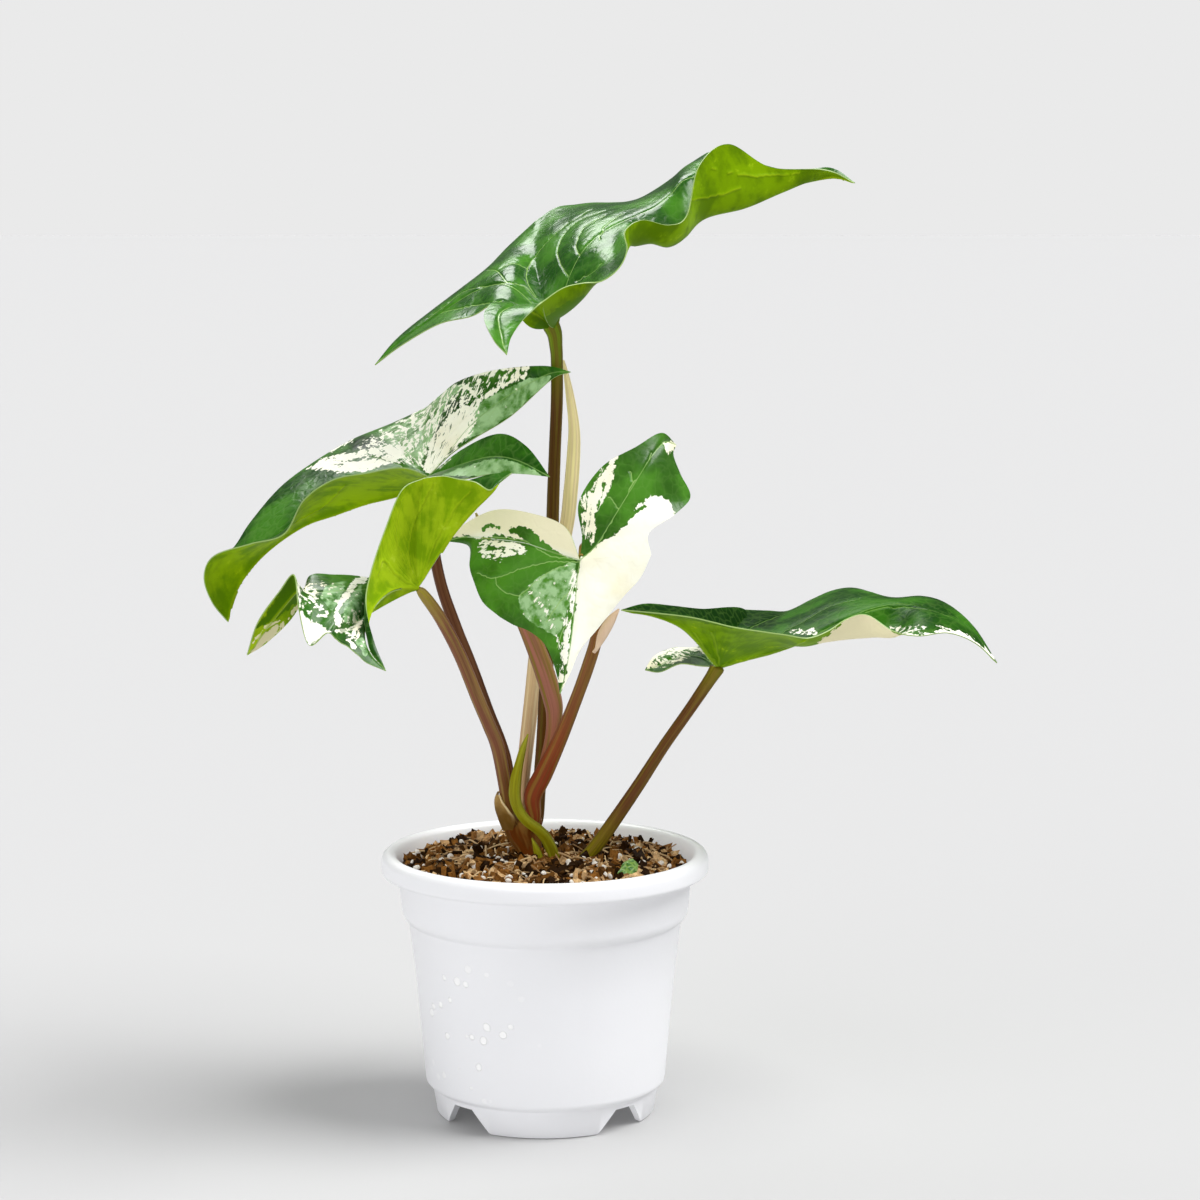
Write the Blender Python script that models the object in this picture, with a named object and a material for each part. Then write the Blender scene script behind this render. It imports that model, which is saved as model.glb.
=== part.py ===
"""Variegated arrow-leaf plant in a white plastic pot.

Real sizes, in millimetres until `mm` turns them into metres. +Z is up, the pot stands on z = 0
and its round wall is centred on the plant's own axis. The leaves are free shapes: each one is a
set of stations from its lobe tips to its point, and every station is read by eye as a place in
the sight picture (across, down, in picture units) with a depth in millimetres behind the pot
axis. `sight` turns such a place into a point in space.
"""
import math

import bmesh
import bpy
from mathutils import Matrix, Vector
from mathutils.bvhtree import BVHTree

# driving sizes, millimetres
RIM_DIAMETER = 120.0        # outside of the lip: sets the scale of the whole plant
POT_HEIGHT = 97.0
LIP_HEIGHT = 7.6            # depth of the rounded band at the top
COLLAR_TOP_DIAMETER = 108.0
COLLAR_FOOT_DIAMETER = 105.4
COLLAR_FOOT_Z = 76.0        # where the collar steps in to the body
BODY_TOP_DIAMETER = 100.6
BODY_FOOT_DIAMETER = 88.6
BODY_FOOT_Z = 13.0
FOOT_RING_DIAMETER = 83.6
FOOT_RING_BASE_DIAMETER = 80.4
FOOT_RING_HEIGHT = 9.6
FOOT_RING_WALL = 3.4
WALL = 2.2
MOUTH_DIAMETER = 109.0
FLOOR_TOP_Z = 12.6

NOTCH_COUNT = 4             # gaps that part the foot ring into four feet
NOTCH_BOTTOM_WIDTH = 22.0
NOTCH_TOP_WIDTH = 9.0
NOTCH_HEIGHT = 8.4

SOIL_LEVEL = 91.6           # at the wall
SOIL_MOUND = 1.2            # how much higher the middle is
SOIL_RELIEF = 1.5           # crumbs and bark pieces stand this far up or down
FIT_GAP = 0.3               # clear space between pieces that touch

BLADE_THICKNESS = 0.8
RIB_THICKNESS = 1.5

# the sight picture
SIGHT_WIDTH = 1200.0        # the picture is square, so this is its height too
SIGHT_FOCAL = 3000.0        # focal length in picture units
SIGHT_PITCH = math.radians(7.24)
EYE_DISTANCE = 1082.1       # from the pot axis, millimetres
EYE_HEIGHT = 327.0
EYE_RIGHT = 20.2


def mm(value):
    return value * 0.001


def sight(across, down, depth):
    """Point in millimetres that is seen at (across, down) and lies `depth` behind the axis."""
    right = (across - SIGHT_WIDTH / 2) / SIGHT_FOCAL
    up = (SIGHT_WIDTH / 2 - down) / SIGHT_FOCAL
    cosine, sine = math.cos(SIGHT_PITCH), math.sin(SIGHT_PITCH)
    reach = (EYE_DISTANCE + depth) / (cosine + up * sine)
    return Vector((EYE_RIGHT + right * reach, depth, EYE_HEIGHT + reach * (up * cosine - sine)))


# materials
def material(name, colour, roughness):
    result = bpy.data.materials.new(name)
    result.use_nodes = True
    shader = result.node_tree.nodes["Principled BSDF"]
    shader.inputs["Base Color"].default_value = (*colour, 1.0)
    shader.inputs["Roughness"].default_value = roughness
    result.diffuse_color = (*colour, 1.0)
    return result


WHITE_PLASTIC = material("white_plastic", (0.82, 0.82, 0.84), 0.35)
SOIL_MIX = material("potting_mix", (0.12, 0.065, 0.035), 0.9)
DARK_LEAF = material("dark_green_leaf", (0.035, 0.16, 0.025), 0.35)
MARBLED_LEAF = material("marbled_leaf", (0.32, 0.46, 0.2), 0.4)
CREAM_LEAF = material("cream_green_leaf", (0.55, 0.62, 0.3), 0.4)
LIME_LEAF = material("lime_underside_leaf", (0.28, 0.42, 0.03), 0.4)
BROWN_STEM = material("purple_brown_stem", (0.14, 0.07, 0.05), 0.45)
RED_STEM = material("red_brown_stem", (0.22, 0.06, 0.035), 0.45)
PALE_SHEATH = material("pale_dry_sheath", (0.62, 0.5, 0.3), 0.6)
GREEN_SHOOT = material("green_shoot", (0.3, 0.38, 0.03), 0.4)
PEACH_BRACT = material("peach_bract", (0.75, 0.52, 0.36), 0.6)

PIECES = []


def finish(name, mesh, paint, origin, round_shape=True):
    """Put a mesh given in axis millimetres into an object whose own origin is `origin`."""
    mesh.transform(Matrix.Scale(0.001, 4) @ Matrix.Translation(-Vector(origin)))
    mesh.materials.append(paint)
    for face in mesh.polygons:
        face.use_smooth = round_shape
    if round_shape:
        mesh.set_sharp_from_angle(angle=math.radians(42))
    piece = bpy.data.objects.new(name, mesh)
    piece.location = Vector(origin) * 0.001
    bpy.context.scene.collection.objects.link(piece)
    PIECES.append(piece)
    return piece


def mesh_from(name, points, faces):
    mesh = bpy.data.meshes.new(name)
    mesh.from_pydata([tuple(point) for point in points], [], faces)
    work = bmesh.new()
    work.from_mesh(mesh)
    bmesh.ops.recalc_face_normals(work, faces=work.faces)
    if work.calc_volume(signed=True) < 0:
        bmesh.ops.reverse_faces(work, faces=work.faces)
    work.to_mesh(mesh)
    work.free()
    return mesh


# curves through hand-set points
def through(points, place):
    """Smooth curve through the points; place runs from 0 to the number of gaps."""
    last = len(points) - 1
    index = min(int(place), last - 1)
    t = place - index
    p1, p2 = points[index], points[index + 1]
    if t in (0, 1):
        return (p2 if t else p1).copy()
    p0 = points[index - 1] if index > 0 else p1 * 2 - p2
    p3 = points[index + 2] if index + 2 <= last else p2 * 2 - p1
    return 0.5 * (2 * p1 + (p2 - p0) * t + (2 * p0 - 5 * p1 + 4 * p2 - p3) * t * t
                  + (3 * p1 - p0 - 3 * p2 + p3) * t ** 3)


def blend(values, place):
    index = min(int(place), len(values) - 2)
    t = place - index
    return values[index] * (1 - t) + values[index + 1] * t


# the pot
def turned(name, outline, segments):
    """Closed outline of (radius, height) turned about the pot axis."""
    points, faces = [], []
    count = len(outline)
    for step in range(segments):
        angle = 2 * math.pi * step / segments
        for radius, height in outline:
            points.append((radius * math.cos(angle), radius * math.sin(angle), height))
    for step in range(segments):
        following = (step + 1) % segments
        for index in range(count):
            after = (index + 1) % count
            faces.append((step * count + index, following * count + index,
                          following * count + after, step * count + after))
    mesh = mesh_from(name, points, faces)
    work = bmesh.new()
    work.from_mesh(mesh)
    bmesh.ops.remove_doubles(work, verts=work.verts, dist=0.0005)
    # The outline's two ends lie on the axis, where the turned rows meet in one point.
    bmesh.ops.delete(work, geom=[edge for edge in work.edges if not edge.link_faces], context="EDGES")
    work.to_mesh(mesh)
    work.free()
    return mesh


def build_pot():
    rim = RIM_DIAMETER / 2
    mouth = MOUTH_DIAMETER / 2
    top = POT_HEIGHT
    lip_bottom = top - LIP_HEIGHT
    body_top = BODY_TOP_DIAMETER / 2
    body_foot = BODY_FOOT_DIAMETER / 2
    ring_top = FOOT_RING_DIAMETER / 2
    ring_foot = FOOT_RING_BASE_DIAMETER / 2
    inner_top = body_top - WALL
    outline = [
        (0.0, FOOT_RING_HEIGHT), (ring_top - FOOT_RING_WALL, FOOT_RING_HEIGHT),
        (ring_foot - FOOT_RING_WALL + 0.4, 0.0), (ring_foot - 0.4, 0.0), (ring_foot, 0.5),
        (ring_top, FOOT_RING_HEIGHT + 0.4), (ring_top + 0.5, FOOT_RING_HEIGHT + 0.9),
        (body_foot - 0.7, BODY_FOOT_Z - 1.6), (body_foot, BODY_FOOT_Z),
        (body_top, COLLAR_FOOT_Z - 4.4), (body_top + 0.5, COLLAR_FOOT_Z - 3.6),
        (COLLAR_FOOT_DIAMETER / 2 - 0.6, COLLAR_FOOT_Z - 1.0), (COLLAR_FOOT_DIAMETER / 2, COLLAR_FOOT_Z),
        (COLLAR_TOP_DIAMETER / 2, lip_bottom - 0.2), (rim - 2.2, lip_bottom - 0.2),
        (rim - 1.0, lip_bottom + 0.2), (rim - 0.5, lip_bottom + 1.2), (rim, top - 3.4),
        (rim - 0.5, top - 1.4), (rim - 1.5, top - 0.3), (rim - 2.8, top),
        (rim - 4.2, top - 0.4), (mouth, top - 1.6), (mouth - 0.5, top - 3.4),
        (COLLAR_FOOT_DIAMETER / 2 - WALL, COLLAR_FOOT_Z + 1.0), (inner_top, COLLAR_FOOT_Z - 5.0),
        (body_foot - WALL, FLOOR_TOP_Z + 2.0), (body_foot - WALL - 2.0, FLOOR_TOP_Z), (0.0, FLOOR_TOP_Z),
    ]
    mesh = turned("pot", outline, 48)
    pot = finish("pot", mesh, WHITE_PLASTIC, (0.0, 0.0, 0.0))

    points, faces = [], []
    for index in range(NOTCH_COUNT):
        angle = math.radians(45 + 90 * index)
        out = Vector((math.cos(angle), math.sin(angle), 0))
        side = Vector((-math.sin(angle), math.cos(angle), 0))
        start = len(points)
        for radius in (ring_foot - FOOT_RING_WALL - 5, ring_foot + 8):
            for half, height in ((-NOTCH_BOTTOM_WIDTH / 2 - 0.5, -0.4), (NOTCH_BOTTOM_WIDTH / 2 + 0.5, -0.4),
                                 (NOTCH_TOP_WIDTH / 2, NOTCH_HEIGHT), (-NOTCH_TOP_WIDTH / 2, NOTCH_HEIGHT)):
                points.append(out * radius + side * half + Vector((0, 0, height)))
        faces += [tuple(start + k for k in face) for face in (
            (0, 1, 2, 3), (4, 7, 6, 5), (0, 4, 5, 1), (1, 5, 6, 2), (2, 6, 7, 3), (3, 7, 4, 0))]
    cutter_mesh = mesh_from("foot_notches", points, faces)
    cutter_mesh.transform(Matrix.Scale(0.001, 4))
    cutter = bpy.data.objects.new("foot_notches", cutter_mesh)
    bpy.context.scene.collection.objects.link(cutter)
    cutter.hide_render = True
    cutter.display_type = "WIRE"
    cut = pot.modifiers.new("foot_notches", "BOOLEAN")
    cut.operation = "DIFFERENCE"
    cut.solver = "EXACT"
    cut.object = cutter
    return pot, cutter


# stems
def beside(piece, spot):
    """Place just clear of a piece, on the way from `spot` to the nearest point of its surface."""
    tree = BVHTree.FromPolygons([(vertex.co + piece.location) * 1000 for vertex in piece.data.vertices],
                                [tuple(face.vertices) for face in piece.data.polygons])
    touch = tree.find_nearest(spot)[0]
    return touch + (spot - touch).normalized() * FIT_GAP * 1.4


def tube(name, stations, paint, foot=None, head=None, sides=8, steps=2):
    """Round stem through stations (across, down, depth, radius), lower end first.

    `foot` and `head` are the pieces that its two ends grow from and carry: the ends taper to
    them and stop a fitting gap short.
    """
    spots = [sight(a, d, y) for a, d, y, r in stations]
    radii = [r for a, d, y, r in stations]
    if foot:
        spots.insert(0, beside(foot, spots[0]))
        radii.insert(0, radii[0] * 0.35)
    if head:
        spots.append(beside(head, spots[-1]))
        radii.append(radii[-1] * 0.35)
    places = [k / steps for k in range((len(spots) - 1) * steps + 1)]
    # The short tapers at the ends run straight, so that they meet their piece squarely.
    places = [place for place in places
              if not (foot and 0 < place < 1) and not (head and len(spots) - 2 < place < len(spots) - 1)]
    rings = [through(spots, place) for place in places]
    points, faces = [], []
    aim = (rings[1] - rings[0]).normalized()
    side = aim.orthogonal().normalized()
    for index, centre in enumerate(rings):
        before = rings[max(index - 1, 0)]
        after = rings[min(index + 1, len(rings) - 1)]
        turned_aim = (after - before).normalized()
        side = (aim.rotation_difference(turned_aim) @ side).normalized()
        aim = turned_aim
        other = aim.cross(side)
        radius = blend(radii, places[index])
        for k in range(sides):
            angle = 2 * math.pi * k / sides
            points.append(centre + radius * (math.cos(angle) * side + math.sin(angle) * other))
    for index in range(len(rings) - 1):
        for k in range(sides):
            a = index * sides + k
            b = index * sides + (k + 1) % sides
            faces.append((a, b, b + sides, a + sides))
    faces.append(tuple(range(sides)))
    top = (len(rings) - 1) * sides
    faces.append(tuple(top + k for k in range(sides)))
    mesh = mesh_from(name, points, faces)
    return finish(name, mesh, paint, spots[0])


# leaf blades
class Skin:
    """Collects the patches of one blade as a single skin, then gives it thickness."""

    def __init__(self):
        self.points = []
        self.rib = []
        self.faces = []
        self.seen = {}

    def add(self, point, rib):
        key = (round(point.x, 2), round(point.y, 2), round(point.z, 2))
        if key not in self.seen:
            self.seen[key] = len(self.points)
            self.points.append(point)
            self.rib.append(rib)
        index = self.seen[key]
        self.rib[index] = max(self.rib[index], rib)
        return index

    def patch(self, inner, middle, outer, rows, columns, flip, rib_falls):
        """Skin between a rib and a margin. rows: places along them; middle may hold None."""
        grid = []
        for place in rows:
            a, c = through(inner, place), through(outer, place)
            low = min(int(place), len(inner) - 2)
            sag_a = middle[low] if middle[low] is not None else Vector()
            sag_b = middle[low + 1] if middle[low + 1] is not None else Vector()
            sag = sag_a.lerp(sag_b, place - low)
            line = []
            for k in range(columns + 1):
                t = k / columns
                point = a.lerp(c, t) + sag * (4 * t * (1 - t))
                line.append(self.add(point, (1 - t) ** 3 * rib_falls(place)))
            grid.append(line)
        for r in range(len(grid) - 1):
            for k in range(columns):
                quad = [grid[r][k], grid[r + 1][k], grid[r + 1][k + 1], grid[r][k + 1]]
                for corner in ((0, 1, 2), (0, 2, 3)):
                    face = [quad[c] for c in corner]
                    if len(set(face)) == 3:
                        self.faces.append(tuple(reversed(face)) if flip else tuple(face))

    def solid(self, name, turn):
        normals = [Vector() for _ in self.points]
        for a, b, c in self.faces:
            normal = (self.points[b] - self.points[a]).cross(self.points[c] - self.points[a])
            for index in (a, b, c):
                normals[index] += normal
        upper, lower = [], []
        for index, point in enumerate(self.points):
            normal = normals[index].normalized() * turn
            half = BLADE_THICKNESS / 2
            upper.append(point + normal * half)
            extra = (RIB_THICKNESS - BLADE_THICKNESS) * self.rib[index]
            lower.append(point - normal * (half + extra))
        count = len(self.points)
        faces = list(self.faces)
        faces += [(c + count, b + count, a + count) for a, b, c in self.faces]
        sides = set()
        for a, b, c in self.faces:
            sides.update(((a, b), (b, c), (c, a)))
        for a, b in sides:
            if (b, a) not in sides:
                faces += [(b, a, a + count), (b, a + count, b + count)]
        return mesh_from(name, upper + lower, faces)


def spots_of(column, rows):
    return [sight(*row[column]) for row in rows]


def sags_of(column, rows, inner, outer):
    result = []
    for row, a, c in zip(rows, inner, outer):
        if len(row) > column and row[column] is not None:
            result.append(sight(*row[column]) - (a + c) / 2)
        else:
            result.append(None)
    return result


def leaf(name, heart, lobe_1, lobe_2, body, paint, turn, bulge=0.05):
    """One arrow-shaped blade.

    heart: where the three ribs meet. lobe rows, tip first: (sinus margin, rib, outer margin).
    body rows, heart first: (margin 1, rib, margin 2, belly 1, belly 2), ending at the point.
    """
    skin = Skin()
    body_rows = [(row[0], row[1], row[2], row[3] if len(row) > 3 else None,
                  row[4] if len(row) > 4 else None) for row in body]
    rib = spots_of(1, body_rows)
    rows = [k / 2 for k in range(2 * (len(body_rows) - 1) + 1)]
    top = len(body_rows) - 1
    for side, (edge_column, belly_column, lobe) in enumerate(((0, 3, lobe_1), (2, 4, lobe_2))):
        edge = spots_of(edge_column, body_rows)
        bellies = sags_of(belly_column, body_rows, rib, edge)
        for k, belly in enumerate(bellies):
            if belly is None:
                along = rib[min(k + 1, top)] - rib[max(k - 1, 0)]
                across = edge[k] - rib[k]
                out = along.cross(across)
                if out.length > 1e-6:
                    bellies[k] = out.normalized() * across.length * bulge * turn * (1 if side == 0 else -1)
        skin.patch(rib, bellies, edge, rows, 4, side == 1, lambda p: max(0.0, 1 - p / top))
        lobe_rib = spots_of(1, lobe) + [rib[0]]
        lobe_edge = spots_of(2, lobe) + [edge[0]]
        lobe_sinus = spots_of(0, lobe) + [rib[0]]
        last = len(lobe_rib) - 1
        lobe_places = [k / 2 for k in range(2 * last + 1)]
        rise = lambda p, last=last: p / last
        outward = []
        for k in range(last + 1):
            along = lobe_rib[min(k + 1, last)] - lobe_rib[max(k - 1, 0)]
            across = lobe_edge[k] - lobe_rib[k]
            out = along.cross(across)
            outward.append(out.normalized() * across.length * bulge * turn * (1 if side == 0 else -1)
                           if out.length > 1e-6 else None)
        outward[last] = bellies[0]      # the last row is also the first row of the body
        skin.patch(lobe_rib, outward, lobe_edge, lobe_places, 4, side == 1, rise)
        skin.patch(lobe_rib, [None] * (last + 1), lobe_sinus, lobe_places, 2, side == 0, rise)
    mesh = skin.solid(name, turn)
    return finish(name, mesh, paint, sight(*heart))


# leaf stations
# Every place is (across, down, depth). Lobe rows run from the lobe tip to the heart as
# (sinus margin, rib, outer margin); body rows run from the heart to the point as
# (margin 1, rib, margin 2, belly 1, belly 2).
TOP_HEART = (556, 327, 2)
TOP_LOBE_1 = [                      # far lobe, to the left
    ((375, 365, 30), (375, 365, 30), (375, 365, 30)),
    ((402, 345, 24), (400, 341, 32), (398, 338, 38)),
    ((439, 324, 16), (437, 315, 32), (434, 309, 46)),
    ((472, 316, 9), (478, 289, 26), (480, 275, 57)),
    ((506, 301, 4), (512, 286, 14), (508, 247, 65)),
]
TOP_LOBE_2 = [                      # near lobe, hanging towards the front
    ((507, 355, -62), (507, 355, -62), (507, 355, -62)),
    ((493, 339, -56), (502, 338, -54), (511, 338, -54)),
    ((484, 314, -38), (499, 314, -40), (522, 321, -45)),
    ((504, 299, -20), (517, 305, -27), (532, 311, -41)),
    ((530, 327, -12), (536, 313, -14), (538, 305, -39)),
]
TOP_BODY = [
    ((536, 221, 68), TOP_HEART, (542, 302, -37), None, (548, 323, -17)),
    ((556, 208, 74), (565, 286, 8), (563, 288, -33), None, (568, 312, -13)),
    ((575, 205, 77), (579, 255, 14), (583, 283, -29), None, (584, 295, -10)),
    ((592, 203, 78), (594, 238, 18), (602, 281, -26), None, (600, 268, -5)),
    ((612, 203, 79), (610, 227, 22), (619, 268, -23), None, (616, 257, -4)),
    ((630, 203, 80), (624, 220, 25), (627, 250, -21), None, (628, 243, -3)),
    ((645, 199, 80), (638, 214, 28), (625, 231, -16), None, (637, 245, 2)),
    ((662, 188, 80), (655, 206, 32), (642, 220, -10), None, (652, 243, 6)),
    ((679, 176, 79), (670, 194, 35), (669, 225, -3), None, (669, 245, 12)),
    ((694, 164, 78), (683, 180, 38), (687, 215, 4), None, (686, 234, 18)),
    ((712, 152, 72), (705, 176, 42), (699, 166, 13), None, (706, 218, 24)),
    ((745, 160, 66), (742, 186, 46), (728, 144, 24), None, (742, 206, 32)),
    ((790, 171, 58), (788, 184, 50), (770, 167, 38), None, (780, 191, 42)),
    ((830, 168, 54), (830, 177, 51), (826, 170, 47), None, (824, 174, 49)),
    ((855, 183, 52), (855, 183, 52), (855, 183, 52)),
]

LEFT_HEART = (427, 478, 8)
LEFT_LOBE_1 = [                     # far lobe, up to the right
    ((571, 372, -4), (571, 372, -4), (571, 372, -4)),
    ((551, 380, -4), (548, 374, -3), (544, 366, -1)),
    ((511, 416, 8), (505, 397, 13), (497, 370, 22)),
    ((475, 438, 8), (470, 425, 15), (460, 381, 38)),
    ((450, 455, 10), (447, 453, 12), (440, 396, 50)),
]
LEFT_LOBE_2 = [                     # near lobe, to the right
    ((550, 477, -32), (550, 477, -32), (550, 477, -32)),
    ((526, 446, -27), (520, 461, -30), (522, 474, -31)),
    ((499, 434, -18), (492, 456, -22), (492, 474, -26)),
    ((462, 450, -2), (459, 464, -8), (465, 479, -23)),
]
LEFT_BODY = [
    ((426, 408, 62), LEFT_HEART, (436, 480, -21)),
    ((391, 424, 62), (400, 494, 7), (404, 468, -21)),
    ((352, 440, 59), (366, 503, 6), (368, 473, -21)),
    ((313, 463, 52), (335, 514, 8), (333, 480, -19)),
    ((280, 488, 44), (308, 523, 10), (304, 500, -18)),
    ((251, 522, 34), (284, 537, 12), (284, 534, -14)),
    ((236, 545, 28), (262, 555, 12), (250, 544, -12)),
    ((222, 560, 22), (246, 574, 10), (214, 556, -10)),
    ((214, 576, 18), (236, 591, 8), (204, 577, -7)),
    ((217, 602, 10), (230, 608, 6), (212, 602, -2)),
    ((228, 622, 4), (228, 622, 4), (228, 622, 4)),
]

LOW_HEART = (418, 588, -32)
LOW_LOBE_1 = [                      # near lobe, folded upright
    ((512, 473, -37), (512, 473, -37), (512, 473, -37)),
    ((503, 473, -36), (500, 480, -38), (497, 485, -40)),
    ((488, 475, -35), (492, 491, -40), (489, 490, -44)),
    ((470, 480, -34), (474, 509, -39), (475, 482, -45)),
    ((455, 484, -33), (455, 531, -37), (458, 479, -45)),
    ((443, 488, -32), (441, 552, -34), (443, 476, -44)),
]
LOW_LOBE_2 = [                      # far lobe, twisted over at its tip
    ((247, 655, -60), (247, 655, -60), (247, 655, -60)),
    ((266, 643, -56), (261, 634, -60), (258, 622, -64)),
    ((290, 620, -52), (283, 606, -58), (279, 592, -64)),
    ((303, 598, -47), (298, 590, -57), (294, 575, -67)),
    ((310, 576, -44), (311, 592, -58), (299, 610, -74)),
    ((333, 575, -42), (337, 590, -56), (309, 645, -77)),
    ((362, 577, -38), (370, 588, -48), (327, 633, -78)),
]
LOW_BODY = [
    ((424, 478, -43), LOW_HEART, (336, 639, -78)),
    ((402, 490, -50), (400, 588, -42), (341, 643, -78)),
    ((385, 530, -57), (385, 594, -53), (347, 646, -78)),
    ((371, 572, -64), (372, 609, -62), (353, 651, -78)),
    ((366, 604, -69), (366, 632, -69), (359, 656, -78)),
    ((374, 642, -72), (370, 651, -74), (367, 663, -78)),
    ((386, 671, -77), (386, 671, -77), (386, 671, -77)),
]

FRONT_HEART = (580, 560, -42)
FRONT_LOBE_1 = [                    # left lobe
    ((446, 541, -10), (446, 541, -10), (446, 541, -10)),
    ((463, 525, -16), (466, 537, -16), (469, 546, -17)),
    ((495, 510, -24), (495, 539, -26), (470, 567, -25)),
    ((530, 513, -32), (525, 543, -33), (474, 581, -28)),
    ((565, 527, -38), (552, 552, -38), (483, 602, -32)),
]
FRONT_LOBE_2 = [                    # right lobe, its tip folded over
    ((676, 445, -12), (676, 445, -12), (676, 445, -12)),
    ((661, 433, -20), (665, 442, -20), (673, 455, -17)),
    ((636, 447, -26), (650, 459, -28), (680, 474, -20)),
    ((602, 467, -30), (632, 488, -34), (690, 497, -20)),
    ((579, 502, -34), (612, 520, -38), (674, 515, -30)),
    ((582, 536, -38), (596, 545, -40), (649, 533, -36)),
]
FRONT_BODY = [
    ((500, 617, -37), FRONT_HEART, (651, 555, -37)),
    ((514, 625, -40), (577, 581, -44), (640, 578, -39)),
    ((529, 631, -43), (575, 605, -47), (622, 598, -42)),
    ((544, 643, -47), (572, 634, -50), (598, 628, -46)),
    ((553, 661, -50), (568, 660, -53), (580, 650, -50)),
    ((558, 679, -53), (564, 679, -54), (570, 673, -53)),
    ((560, 694, -55), (560, 694, -55), (560, 694, -55)),
]

RIGHT_HEART = (718, 667, -4)
RIGHT_LOBE_1 = [                    # far lobe, drooping and curled
    ((645, 670, 10), (645, 670, 10), (645, 670, 10)),
    ((660, 672, 8), (658, 665, 12), (655, 656, 18)),
    ((680, 664, 6), (678, 656, 14), (674, 648, 26)),
    ((700, 666, 2), (700, 656, 10), (702, 645, 36)),
]
RIGHT_LOBE_2 = [                    # near lobe, a pointed trough
    ((621, 610, -34), (621, 610, -34), (621, 610, -34)),
    ((645, 604, -24), (650, 614, -30), (655, 613, -37)),
    ((672, 606, -12), (679, 625, -25), (689, 617, -38)),
    ((700, 609, 4), (698, 642, -17), (712, 622, -38)),
    ((746, 612, 38), (709, 657, -10), (728, 626, -37)),
]
RIGHT_BODY = [
    ((745, 610, 46), RIGHT_HEART, (744, 629, -36)),
    ((768, 611, 50), (745, 659, -4), (765, 632, -36)),
    ((788, 611, 52), (772, 652, -4), (786, 635, -34)),
    ((811, 600, 54), (800, 642, -3), (808, 638, -31), None, (803, 646, -18)),
    ((832, 591, 54), (822, 630, 0), (828, 631, -27), None, (825, 642, -13)),
    ((852, 588, 52), (846, 618, 2), (847, 619, -22), None, (848, 639, -10)),
    ((872, 593, 48), (870, 608, 4), (867, 615, -20), None, (872, 637, -8)),
    ((895, 603, 42), (895, 603, 4), (893, 631, -20), None, (895, 634, -10)),
    ((921, 598, 36), (920, 605, 2), (918, 636, -24)),
    ((944, 604, 26), (948, 613, -2), (948, 633, -22)),
    ((971, 626, 10), (973, 631, -6), (975, 643, -16)),
    ((997, 663, -9), (997, 663, -9), (997, 663, -9)),
]

# stem stations
# (across, down, depth, radius in millimetres), lower end first.
TOP_PETIOLE = [(538, 815, 9, 2.3), (540, 780, 10.5, 2.4), (543, 740, 11, 2.4), (545, 700, 11, 2.4),
               (548, 650, 11, 2.4), (552, 570, 9.5, 2.3), (553, 510, 8, 2.3), (555, 450, 6, 2.2),
               (557, 400, 4, 2.2), (557, 360, 3, 2.2), (556, 340, 2, 2.6)]
LEFT_PETIOLE = [(512, 815, 1.5, 2.3), (507, 768, 3, 2.3), (500, 742, 3.5, 2.3), (488, 712, 4, 2.3),
                (471, 665, 5, 2.2), (455, 625, 6, 2.2), (440, 580, 7, 2.1), (430, 525, 8, 2.1),
                (427, 489, 8, 2.0)]
LOW_PETIOLE = [(509, 815, -5, 2.3), (505, 785, -5.6, 2.4), (498, 748, -7.5, 2.5), (489, 725, -9.5, 2.4),
               (478, 699, -12, 2.4), (460, 655, -18, 2.3), (441, 619, -25, 2.2), (424, 595, -30.5, 1.9)]
FRONT_PETIOLE = [(535, 815, -3.5, 2.3), (533, 796, -4, 3.3), (544, 773, -4.5, 3.4), (561, 737, -8, 2.7),
                 (576, 700, -13, 2.3), (589, 664, -19, 2.3), (597, 636, -25, 2.2), (600, 605, -30, 2.1),
                 (594, 570, -33, 2.1), (585, 548, -36, 1.9)]
RIGHT_PETIOLE = [(569, 880, -1, 2.6), (583, 862, -1.5, 2.6), (597, 845, -2, 2.6), (612, 824, -2.5, 2.5),
                 (638, 786, -3, 2.3), (664, 746, -3, 2.1), (690, 709, -4, 2.0), (711, 678, -4, 1.8)]
DRY_SHEATH = [(520, 815, 10.5, 2.3), (524, 770, 14, 2.6), (532, 700, 17, 2.8), (539, 640, 18, 2.8),
              (553, 580, 17, 2.7), (566, 530, 12.5, 2.6), (571, 490, 9.5, 2.6), (574, 450, 9.5, 2.4),
              (574, 425, 9.5, 2.0), (570, 395, 9.5, 1.5), (566, 373, 9.5, 0.9), (563.5, 360, 9.5, 0.4)]
SIDE_SHEATH = [(530, 816, 3, 2.0), (541, 780, 3.8, 2.2), (551, 742, 4, 2.3), (555, 716, 3, 3.0),
               (553, 698, 2, 3.5), (543, 665, 0, 3.6), (529, 630, -2, 3.2), (511, 592, -4, 2.6),
               (496, 560, -4, 2.0), (484, 533, -5, 1.4), (476, 513, -6, 0.5)]
GREEN_SPEAR = [(556, 878, -5, 2.3), (555, 861, -5.5, 2.3), (549, 843, -7, 2.2), (540, 831, -9.5, 2.0),
               (526, 820, -11, 1.9), (518, 808, -11, 2.0), (515, 795, -11, 2.2), (516, 780, -10.5, 2.1),
               (519, 765, -10, 1.6), (523, 749, -10, 1.2), (528, 734, -10, 0.4)]
GREEN_SCALE = [(543, 878, -8.5, 1.8), (541, 866, -8.5, 1.8), (537, 850, -9.5, 1.3), (532, 838, -9.8, 0.4)]
PEACH_STATIONS = [(597, 648, -31.5, 0.7), (603, 634, -32.5, 1.7), (611, 620, -33, 1.5), (619, 609, -33, 0.4)]
STEM_BASE = [(531, 882, 1, 4.3), (531, 856, 1, 4.3), (529, 846, 1.5, 4.8), (524, 830, 2, 6.5), (523, 820, 2, 7.1)]
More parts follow.
